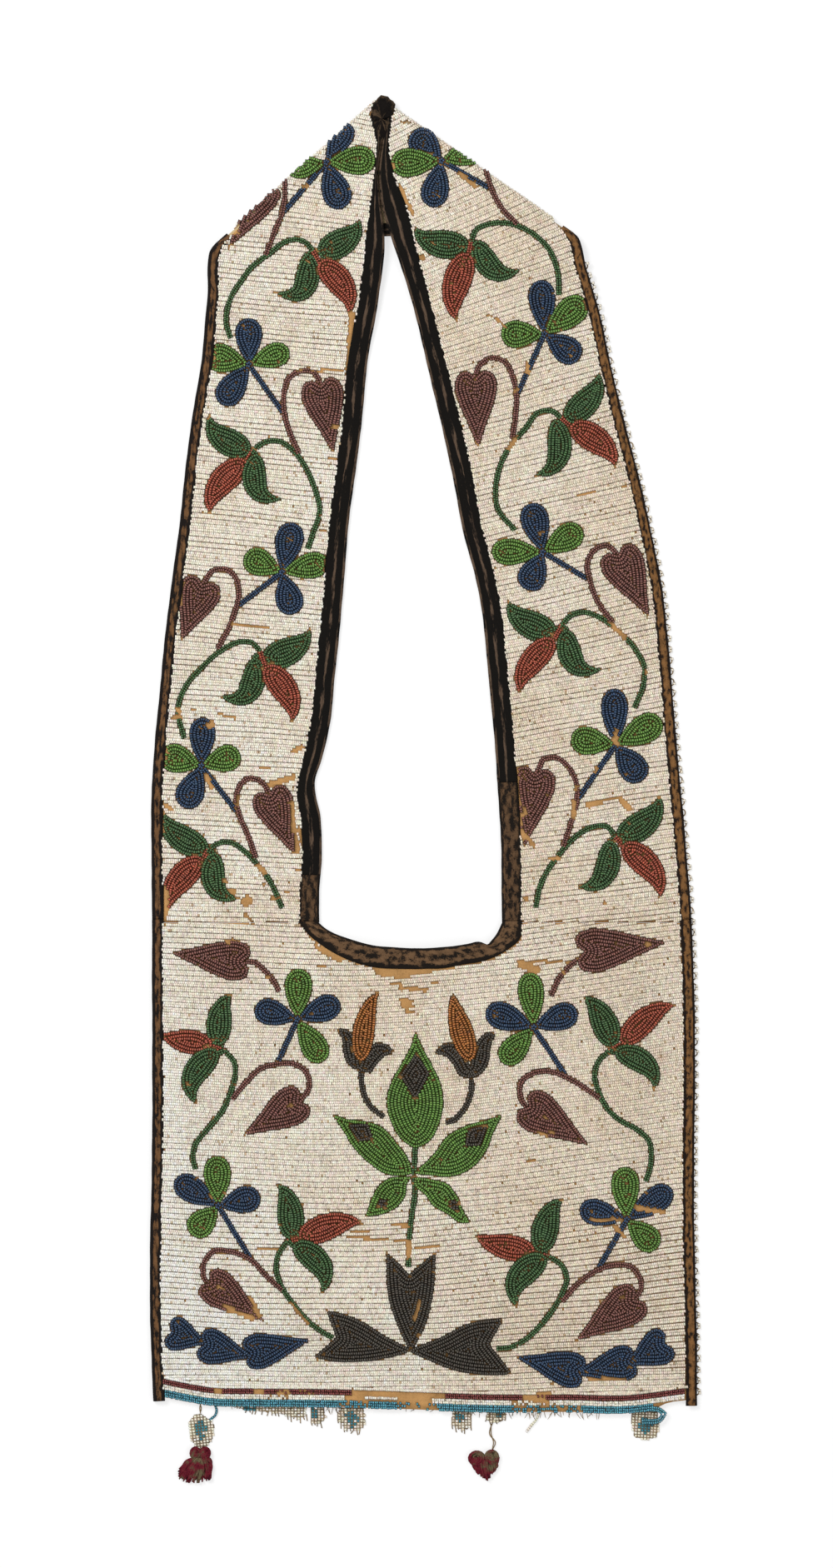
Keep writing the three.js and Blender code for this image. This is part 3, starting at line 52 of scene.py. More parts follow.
# Lie of the bag: sewn cloth that lies on its back. Near the fold each leg of the strap rests on the
# crossing behind it, and the front of the pouch swells off its back. Millimetres, as in the solids.
MM = 0.001
LEG_RISE, FOLD_RADIUS, POCKET_ROOM, FRONT_LIFT = 4.9, 4.75, 6.0, 1.5
SEAM_Y, POUCH_TOP_Y = -92.0, -92.3
SWELL_X = np.array([-230, -177, -130, -74, -40, 20, 53, 130, 172, 230.0])
SWELL_Y = np.array([-470, -406, -362, -150, -92, 600.0])
SWELL = np.zeros((6, 10))
SWELL[2:4, 2:8] = POCKET_ROOM
SWELL[4:, 4:6] = POCKET_ROOM
FOLDS = {
    "left": (np.array([-146.0, 382.0]), np.array([-36.0, 480.0])),
    "right": (np.array([103.0, 389.0]), np.array([-21.0, 475.0])),
}
OUTER_EDGE = {
    "left": [
        (-139, 388), (-146, 382), (-152, 340), (-156, 300), (-164, 250), (-172, 180), (-180, 120),
        (-186, 60), (-190, 15), (-190.5, -90), (-190.5, -250), (-192, -350), (-190, -416),
        (-189.5, -425),
    ],
    "right": [
        (97, 394), (103, 389), (112, 362), (120, 336), (128, 300), (137, 262), (148, 220), (157, 180),
        (165, 138), (170, 90), (174.5, 35), (180, -25), (185, -90), (187, -140), (187, -300),
        (189, -400), (189, -424), (189, -428),
    ],
}
INNER_EDGE = {
    "left": [
        (-30, 476), (-30, 455), (-33, 430), (-31.5, 408), (-28.5, 383), (-33, 340), (-40, 300),
        (-45, 250), (-53.5, 185), (-58, 130), (-63, 80), (-66, 50), (-72, 22), (-77, 6), (-73, -20),
        (-72, -40), (-74, -75), (-74, -92),
    ],
    "right": [
        (-29.4, 476), (-29.4, 455), (-32.4, 430), (-30.9, 408), (-24, 384), (-10, 341), (0, 300),
        (9, 262), (18, 222), (26, 180), (34, 150), (39, 125), (43, 85), (46.5, 50), (49.5, 10),
        (52, -30), (53, -92),
    ],
}
BEAD_EDGE = {
    "left": [
        (-36.5, 478), (-39.5, 470), (-37, 460), (-34.5, 450), (-35, 440), (-37.5, 420), (-41, 390),
        (-47, 340), (-54, 300), (-59, 250), (-67.4, 185), (-72, 130), (-77, 80), (-80, 50),
        (-85.5, 22), (-90, 3), (-87, -22), (-86, -42), (-88, -75), (-88, -92),
    ],
    "right": [
        (-20.5, 475), (-22, 470), (-25, 450), (-24.5, 440), (-19, 420), (-11.5, 400), (-7, 380),
        (3.5, 341), (13.5, 302), (22.6, 265), (31.6, 226), (39.5, 184), (47.5, 153), (52.8, 127),
        (57, 86), (60.5, 51), (63.5, 11), (66, -30), (67, -92),
    ],
}
MOUTH_UPPER_EDGE = [
    (-74, -92.3), (-71, -95), (-63, -99.5), (-50, -104), (-40, -107), (-20, -109), (10, -109),
    (30, -106.5), (37, -105), (43, -107.5), (49, -100), (53, -92.3),
]
MOUTH_LOWER_EDGE = [
    (-88, -92.3), (-80, -102), (-72, -108), (-60, -115), (-50, -119), (-40, -122), (-20, -124),
    (0, -124), (12, -123.5), (25, -121), (40, -118.5), (50, -115), (58, -110), (66, -103), (67, -92.3),
]
GROUND_FOOT = [
    (-192, -407), (-182, -409), (-165, -412.5), (-150, -415), (-120, -415.8), (-60, -416.5),
    (0, -418.5), (50, -420), (100, -420), (140, -420.5), (177, -416), (190, -414.5),
]


def leg_lie(y):
    return LEG_RISE * np.clip((y - 300) / 76, 0, 1)


def pouch_lie(x, y):
    i = np.clip(np.searchsorted(SWELL_X, x) - 1, 0, 8)
    j = np.clip(np.searchsorted(SWELL_Y, y) - 1, 0, 4)
    u = (x - SWELL_X[i]) / (SWELL_X[i + 1] - SWELL_X[i])
    v = (y - SWELL_Y[j]) / (SWELL_Y[j + 1] - SWELL_Y[j])
    u, v = u * u * (3 - 2 * u), v * v * (3 - 2 * v)
    low = SWELL[j, i] * (1 - u) + SWELL[j, i + 1] * u
    high = SWELL[j + 1, i] * (1 - u) + SWELL[j + 1, i + 1] * u
    return low * (1 - v) + high * v


def outward_of(fold):
    a, b = FOLDS[fold]
    along = (b - a) / np.linalg.norm(b - a)
    across = np.array([-along[1], along[0]])
    return across if across[1] > 0 else -across


def drop_at(p, fold):
    """How far a point is past the line where the cloth starts to turn round a fold."""
    return FOLD_RADIUS + (p - FOLDS[fold][0]) @ outward_of(fold)


def placed(p, level, side):
    """Points of a layer that lies at a level: on a leg and round its fold (side "left" or "right"), on
    the crossing behind ("under"), on the front of the pouch, or flat."""
    p = np.array(p, float).reshape(-1, 2)
    level = np.broadcast_to(np.asarray(level, float), len(p))
    if side == "pouch":
        return np.column_stack([p, level + FRONT_LIFT + pouch_lie(p[:, 0], p[:, 1])])
    if side == "flat":
        return np.column_stack([p, level])
    if side == "under":
        nearer = drop_at(p, "left") > drop_at(p, "right")
        both = [placed(p, level, half) for half in ("left under", "right under")]
        return np.where(nearer[:, None], *both)
    fold = side.split()[0]
    drop = drop_at(p, fold)
    radius = np.maximum(LEG_RISE + level - FOLD_RADIUS, 0.05)
    p = p - np.maximum(drop - radius, 0)[:, None] * outward_of(fold)
    round_up = FOLD_RADIUS + np.sqrt(radius**2 - np.clip(drop, 0, radius) ** 2)
    lie = LEG_RISE if "under" in side else leg_lie(p[:, 1])
    z = np.where(drop > 0, round_up, level + lie)
    return np.column_stack([p, 2 * FOLD_RADIUS - z if "under" in side else z])


def smooth_line(points, step=3.0, closed=False, corner=50):
    """The points joined by a smooth line, which keeps the corners sharper than so many degrees."""
    p = np.array(points, float)
    n = len(p)
    if closed:
        p = np.vstack([p, p[:1]])
    tangent = np.zeros_like(p)
    sharp = np.zeros(len(p), bool)
    for i in range(len(p)):
        before, after = ((i - 1) % n, (i + 1) % n) if closed else (max(i - 1, 0), min(i + 1, n - 1))
        a, b = p[i] - p[before], p[after] - p[i]
        la, lb = np.hypot(*a), np.hypot(*b)
        if la < 1e-9 or lb < 1e-9:
            tangent[i] = (a + b) / max(la + lb, 1e-9)
            continue
        turn = math.degrees(math.acos(np.clip(a @ b / la / lb, -1, 1)))
        sharp[i] = turn > corner
        tangent[i] = (a / la * lb + b / lb * la) / (la + lb)
    out = [p[0]]
    for i in range(len(p) - 1):
        a, b = p[i], p[i + 1]
        span = np.hypot(*(b - a))
        ta = (b - a) if sharp[i] else tangent[i] * span
        tb = (b - a) if sharp[i + 1] else tangent[i + 1] * span
        for t in np.linspace(0, 1, max(2, int(span / step) + 1) + 1)[1:]:
            out.append(
                (2 * t**3 - 3 * t**2 + 1) * a + (t**3 - 2 * t**2 + t) * ta
                + (3 * t**2 - 2 * t**3) * b + (t**3 - t**2) * tb
            )
    return np.array(out[:-1] if closed else out)


def spaced(line, count=None, step=None):
    """The line cut anew into even steps."""
    line = np.asarray(line, float)
    run = np.concatenate([[0], np.cumsum(np.hypot(*np.diff(line, axis=0).T))])
    count = count or max(2, int(round(run[-1] / step)) + 1)
    at = np.linspace(0, run[-1], count)
    return np.column_stack([np.interp(at, run, line[:, k]) for k in range(line.shape[1])])


def across_at(line, y):
    """Where a line that runs down the bag crosses each height."""
    line = np.asarray(line)[::-1]
    return np.interp(y, line[:, 1], line[:, 0])


def along_at(line, x):
    line = np.asarray(line)
    return np.interp(x, line[:, 0], line[:, 1])


EDGES = {
    (kind, side): smooth_line(lines[side])
    for kind, lines in (("outer", OUTER_EDGE), ("inner", INNER_EDGE), ("bead", BEAD_EDGE))
    for side in ("left", "right")
}
MOUTH_TOP, MOUTH_FOOT = smooth_line(MOUTH_UPPER_EDGE), smooth_line(MOUTH_LOWER_EDGE)
FOOT = smooth_line(GROUND_FOOT)
SIGN = {"left": 1, "right": -1}


def new_piece(name, points, faces, uv=None):
    """A mesh in the bag's own place. Points are in millimetres, and uv has one pair for each point."""
    mesh = bpy.data.meshes.new(name)
    mesh.from_pydata((np.asarray(points) * MM).tolist(), [], faces)
    if uv is not None:
        layer = mesh.uv_layers.new(name="along")
        corner = np.empty(len(mesh.loops), np.int32)
        mesh.loops.foreach_get("vertex_index", corner)
        layer.data.foreach_set("uv", np.asarray(uv, float)[corner].ravel())
    mesh.validate()
    piece = bpy.data.objects.new(name, mesh)
    bpy.context.collection.objects.link(piece)
    mesh.shade_smooth()
    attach(piece, "root")
    return piece


def dressed(piece, finish, node=None):
    """Its material and its slot, and the solid that it takes the place of."""
    piece.data.materials.append(finish)
    if node:
        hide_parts(node)
    return piece


def grid_faces(rows, columns, start=0, turned=False, ring=False):
    """Quads between rows of points; a ring joins the last column to the first."""
    faces = []
    for j in range(rows - 1):
        for i in range(columns if ring else columns - 1):
            a, b = start + j * columns + i, start + j * columns + (i + 1) % columns
            quad = (a, b, b + columns, a + columns)
            faces.append(quad[::-1] if turned else quad)
    return faces


def outward(piece):
    """Its doubles merged and its faces turned outwards."""
    bpy.ops.object.select_all(action="DESELECT")
    bpy.context.view_layer.objects.active = piece
    piece.select_set(True)
    bpy.ops.object.mode_set(mode="EDIT")
    bpy.ops.mesh.select_all(action="SELECT")
    bpy.ops.mesh.remove_doubles(threshold=0.000002)
    bpy.ops.mesh.normals_make_consistent(inside=False)
    bpy.ops.object.mode_set(mode="OBJECT")
    piece.select_set(False)
    return piece


def sheet_piece(name, rows_of_points, low, high, side, wrinkle=0.12):
    """A cloth layer. Rows of points cross it from edge to edge, all with the same count."""
    rows, columns = rows_of_points.shape[:2]
    flat = rows_of_points.reshape(-1, 2)
    wave = wrinkle * (
        np.sin(flat[:, 0] * 0.31 + 1.7 * np.sin(flat[:, 1] * 0.07))
        * np.sin(flat[:, 1] * 0.23 + 1.3 * np.sin(flat[:, 0] * 0.09))
    )
    top = placed(flat, high + wave, side)
    bottom = placed(flat, low + wave, side)
    count = rows * columns
    faces = grid_faces(rows, columns) + grid_faces(rows, columns, count, turned=True)
    rim = (
        list(range(columns))
        + [j * columns + columns - 1 for j in range(1, rows)]
        + [(rows - 1) * columns + i for i in range(columns - 2, -1, -1)]
        + [j * columns for j in range(rows - 2, 0, -1)]
    )
    for a, b in zip(rim, rim[1:] + rim[:1]):
        faces.append((b, a, a + count, b + count))
    return outward(new_piece(name, np.vstack([top, bottom]), faces))


# Cloths: a tan lining behind the strap, the plain back of the pouch and its ochre front. The same
# ochre cloth lies under all the beads and shows where they are lost. Plain weave, cut and sewn.
LINING_COLOUR, OCHRE_COLOUR = (0.479, 0.361, 0.202), (0.480, 0.262, 0.098)
LINING_LOW, LINING_HIGH, EDGE_IN = 1.1, 1.9, 1.1
CROSSING_HEIGHT, POUCH_FOOT_Y = 94, -428


def new_material(name, roughness):
    material = bpy.data.materials.new(name)
    material.use_nodes = True
    nodes, links = material.node_tree.nodes, material.node_tree.links
    shader = nodes["Principled BSDF"]
    shader.inputs["Roughness"].default_value = roughness
    shader.inputs["Specular IOR Level"].default_value = 0.1
    return material, nodes, links, shader


def noise_at(nodes, links, scale, detail=3.0, source=None, stretch=None):
    """Noise on the Object coordinates in metres, or on another output."""
    noise = nodes.new("ShaderNodeTexNoise")
    noise.inputs["Scale"].default_value = scale
    noise.inputs["Detail"].default_value = detail
    if source is None:
        source = nodes.new("ShaderNodeTexCoord").outputs["Object"]
    if stretch:
        mapping = nodes.new("ShaderNodeMapping")
        mapping.inputs["Scale"].default_value = stretch
        links.new(source, mapping.inputs["Vector"])
        source = mapping.outputs["Vector"]
    links.new(source, noise.inputs["Vector"])
    return noise.outputs["Fac"]


def maths(nodes, links, operation, *inputs):
    """The result of a sum whose inputs are sockets or constants."""
    node = nodes.new("ShaderNodeMath")
    node.operation = operation
    for k, value in enumerate(inputs):
        if isinstance(value, float):
            node.inputs[k].default_value = value
        else:
            links.new(value, node.inputs[k])
    return node.outputs[0]


def ramped(nodes, links, factor, stops):
    ramp = nodes.new("ShaderNodeValToRGB")
    while len(ramp.color_ramp.elements) < len(stops):
        ramp.color_ramp.elements.new(0.5)
    for element, (place, colour) in zip(ramp.color_ramp.elements, stops):
        element.position = place
        element.color = (*colour, 1)
    links.new(factor, ramp.inputs["Fac"])
    return ramp.outputs["Color"]


def bumped(nodes, links, shader, height, distance, strength=0.6):
    bump = nodes.new("ShaderNodeBump")
    bump.inputs["Distance"].default_value = distance
    bump.inputs["Strength"].default_value = strength
    links.new(height, bump.inputs["Height"])
    links.new(bump.outputs["Normal"], shader.inputs["Normal"])


def woven(name, colour, thread=0.0008):
    """Plain weave: warp and weft threads over and under each other, with worn and stained patches."""
    material, nodes, links, shader = new_material(name, 0.95)
    where = nodes.new("ShaderNodeTexCoord").outputs["Object"]
    threads = []
    for direction in ("X", "Y"):
        wave = nodes.new("ShaderNodeTexWave")
        wave.bands_direction = direction
        wave.inputs["Scale"].default_value = 2 * math.pi / 20 / thread
        wave.inputs["Distortion"].default_value = 1.2
        wave.inputs["Detail"].default_value = 1.5
        wave.inputs["Detail Scale"].default_value = 0.4
        links.new(where, wave.inputs["Vector"])
        threads.append(wave.outputs["Fac"])
    weave = maths(nodes, links, "MULTIPLY", *threads)
    stain = noise_at(nodes, links, 60, 5, where)
    fine = noise_at(nodes, links, 900, 2, where)
    tone = maths(nodes, links, "MULTIPLY_ADD", weave, 0.35, stain)
    tone = maths(nodes, links, "MULTIPLY_ADD", fine, 0.35, tone)
    stops = [
        (place, tuple(c * k for c in colour))
        for place, k in ((0.42, 0.45), (0.62, 0.85), (0.8, 1.05), (1.0, 1.3))
    ]
    links.new(ramped(nodes, links, tone, stops), shader.inputs["Base Color"])
    bumped(nodes, links, shader, weave, 0.0003)
    return material


lining_finish = woven("worn tan lining", LINING_COLOUR)
ochre_finish = woven("ochre cloth", OCHRE_COLOUR)


def leg_rows(side, outer_in, inner_in, use="inner"):
    """Rows of points across a leg of the strap, from the seam to the fold. A row runs from the outer
    edge to the inner one, each moved in by a distance."""
    rows = []
    for s in np.linspace(0, 1, 100):
        # The row's ends go up their own edges, so that the last row lies on the fold line
        outer_y, inner_y = (SEAM_Y + (end[1] - SEAM_Y) * s for end in FOLDS[side])
        a = (across_at(EDGES["outer", side], outer_y) + SIGN[side] * outer_in, outer_y)
        b = (across_at(EDGES[use, side], inner_y) - SIGN[side] * inner_in, inner_y)
        rows.append(np.linspace(a, b, 26))
    rows = np.array(rows)
    return rows if side == "left" else rows[:, ::-1]


def crossing_rows(low_in):
    """Rows across the crossing behind the strap: a triangle between the two folds."""
    a, b, top = FOLDS["left"][0], FOLDS["right"][0], np.array([-28.5, 478.0])
    steps = np.linspace(low_in / CROSSING_HEIGHT, 0.97, 20)
    return np.array([np.linspace(a + (top - a) * t, b + (top - b) * t, 40) for t in steps])


def pouch_rows(top_line, foot_line):
    """Rows across the pouch, from the line at its top to the one at its foot."""
    rows = []
    for t in np.linspace(0, 1, 66):
        y = POUCH_TOP_Y + t * (POUCH_FOOT_Y - POUCH_TOP_Y)
        left = across_at(EDGES["outer", "left"], y) + EDGE_IN
        right = across_at(EDGES["outer", "right"], y) - EDGE_IN
        xs = np.linspace(left, right, 72)
        ys = along_at(top_line, xs) * (1 - t) + along_at(foot_line, xs) * t
        rows.append(np.column_stack([xs, ys]))
    return np.array(rows)


def top_of_pouch(mouth, below):
    """The pouch's top: the seam at both sides, and the mouth's line between."""
    ends = [(-200, POUCH_TOP_Y), (mouth[0][0] - 0.5, POUCH_TOP_Y)]
    more = [(mouth[-1][0] + 0.5, POUCH_TOP_Y), (200, POUCH_TOP_Y)]
    return np.array(ends + [(x, y - below) for x, y in mouth[1:-1]] + more)


# The cloth hangs below the last bead row, less of it at the right
CLOTH_FOOT = FOOT.copy()
CLOTH_FOOT[:, 1] -= np.interp(FOOT[:, 0], [158, 168], [12.3, 8.6])


def lay_sheet(piece, rows, finish):
    """The cloth's finish. The size that it was cut to, its box and its area laid flat, is worked out and
    not kept.
    """
    dressed(piece, finish)
    a, b, c, d = rows[:-1, :-1], rows[:-1, 1:], rows[1:, 1:], rows[1:, :-1]
    p, q = c - a, d - b
    area = np.abs(p[..., 0] * q[..., 1] - p[..., 1] * q[..., 0]).sum() / 2 * MM**2
    size = np.ptp(rows.reshape(-1, 2), axis=0) * MM
    area = min(area, 0.999 * size[0] * size[1])


crossing_grid = crossing_rows(EDGE_IN)
lining = sheet_piece("strap_lining_crossing", crossing_grid, LINING_LOW, LINING_HIGH, "under", 0)
lay_sheet(lining, crossing_grid, lining_finish)
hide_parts("strap_cloth")
for side in ("left", "right"):
    grid = leg_rows(side, EDGE_IN, EDGE_IN)
    leg_lining = sheet_piece(f"strap_lining_{side}_leg", grid, LINING_LOW, LINING_HIGH, side)
    lay_sheet(leg_lining, grid, lining_finish)

back_grid = pouch_rows(top_of_pouch(MOUTH_FOOT, 2.0), CLOTH_FOOT)
pouch_back = sheet_piece("pouch_back", back_grid, LINING_LOW, LINING_HIGH, "flat")
lay_sheet(pouch_back, back_grid, lining_finish)
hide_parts("pouch_back_cloth")
front_grid = pouch_rows(top_of_pouch(MOUTH_TOP, 1.2), CLOTH_FOOT)
pouch_front = sheet_piece("pouch_front", front_grid, 1.2, 2.4, "pouch")
lay_sheet(pouch_front, front_grid, ochre_finish)
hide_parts("pouch_front_cloth")

# Ground of the strap: the ochre cloth under its beads, one band folded behind at the top. It lies
# on the lining and ends under the bindings.
BED_LOW, BED_HIGH = 2.1, 2.6
crossing_bed_grid = crossing_rows(9.3)
crossing_bed = sheet_piece("crossing_ground", crossing_bed_grid, BED_LOW, BED_HIGH, "under", 0)
lay_sheet(crossing_bed, crossing_bed_grid, ochre_finish)
for side in ("left", "right"):
    grid = leg_rows(side, 7.0, -1.5, use="bead")
    bed = sheet_piece(f"{side}_leg_ground", grid, BED_LOW, BED_HIGH, side)
    lay_sheet(bed, grid, ochre_finish)

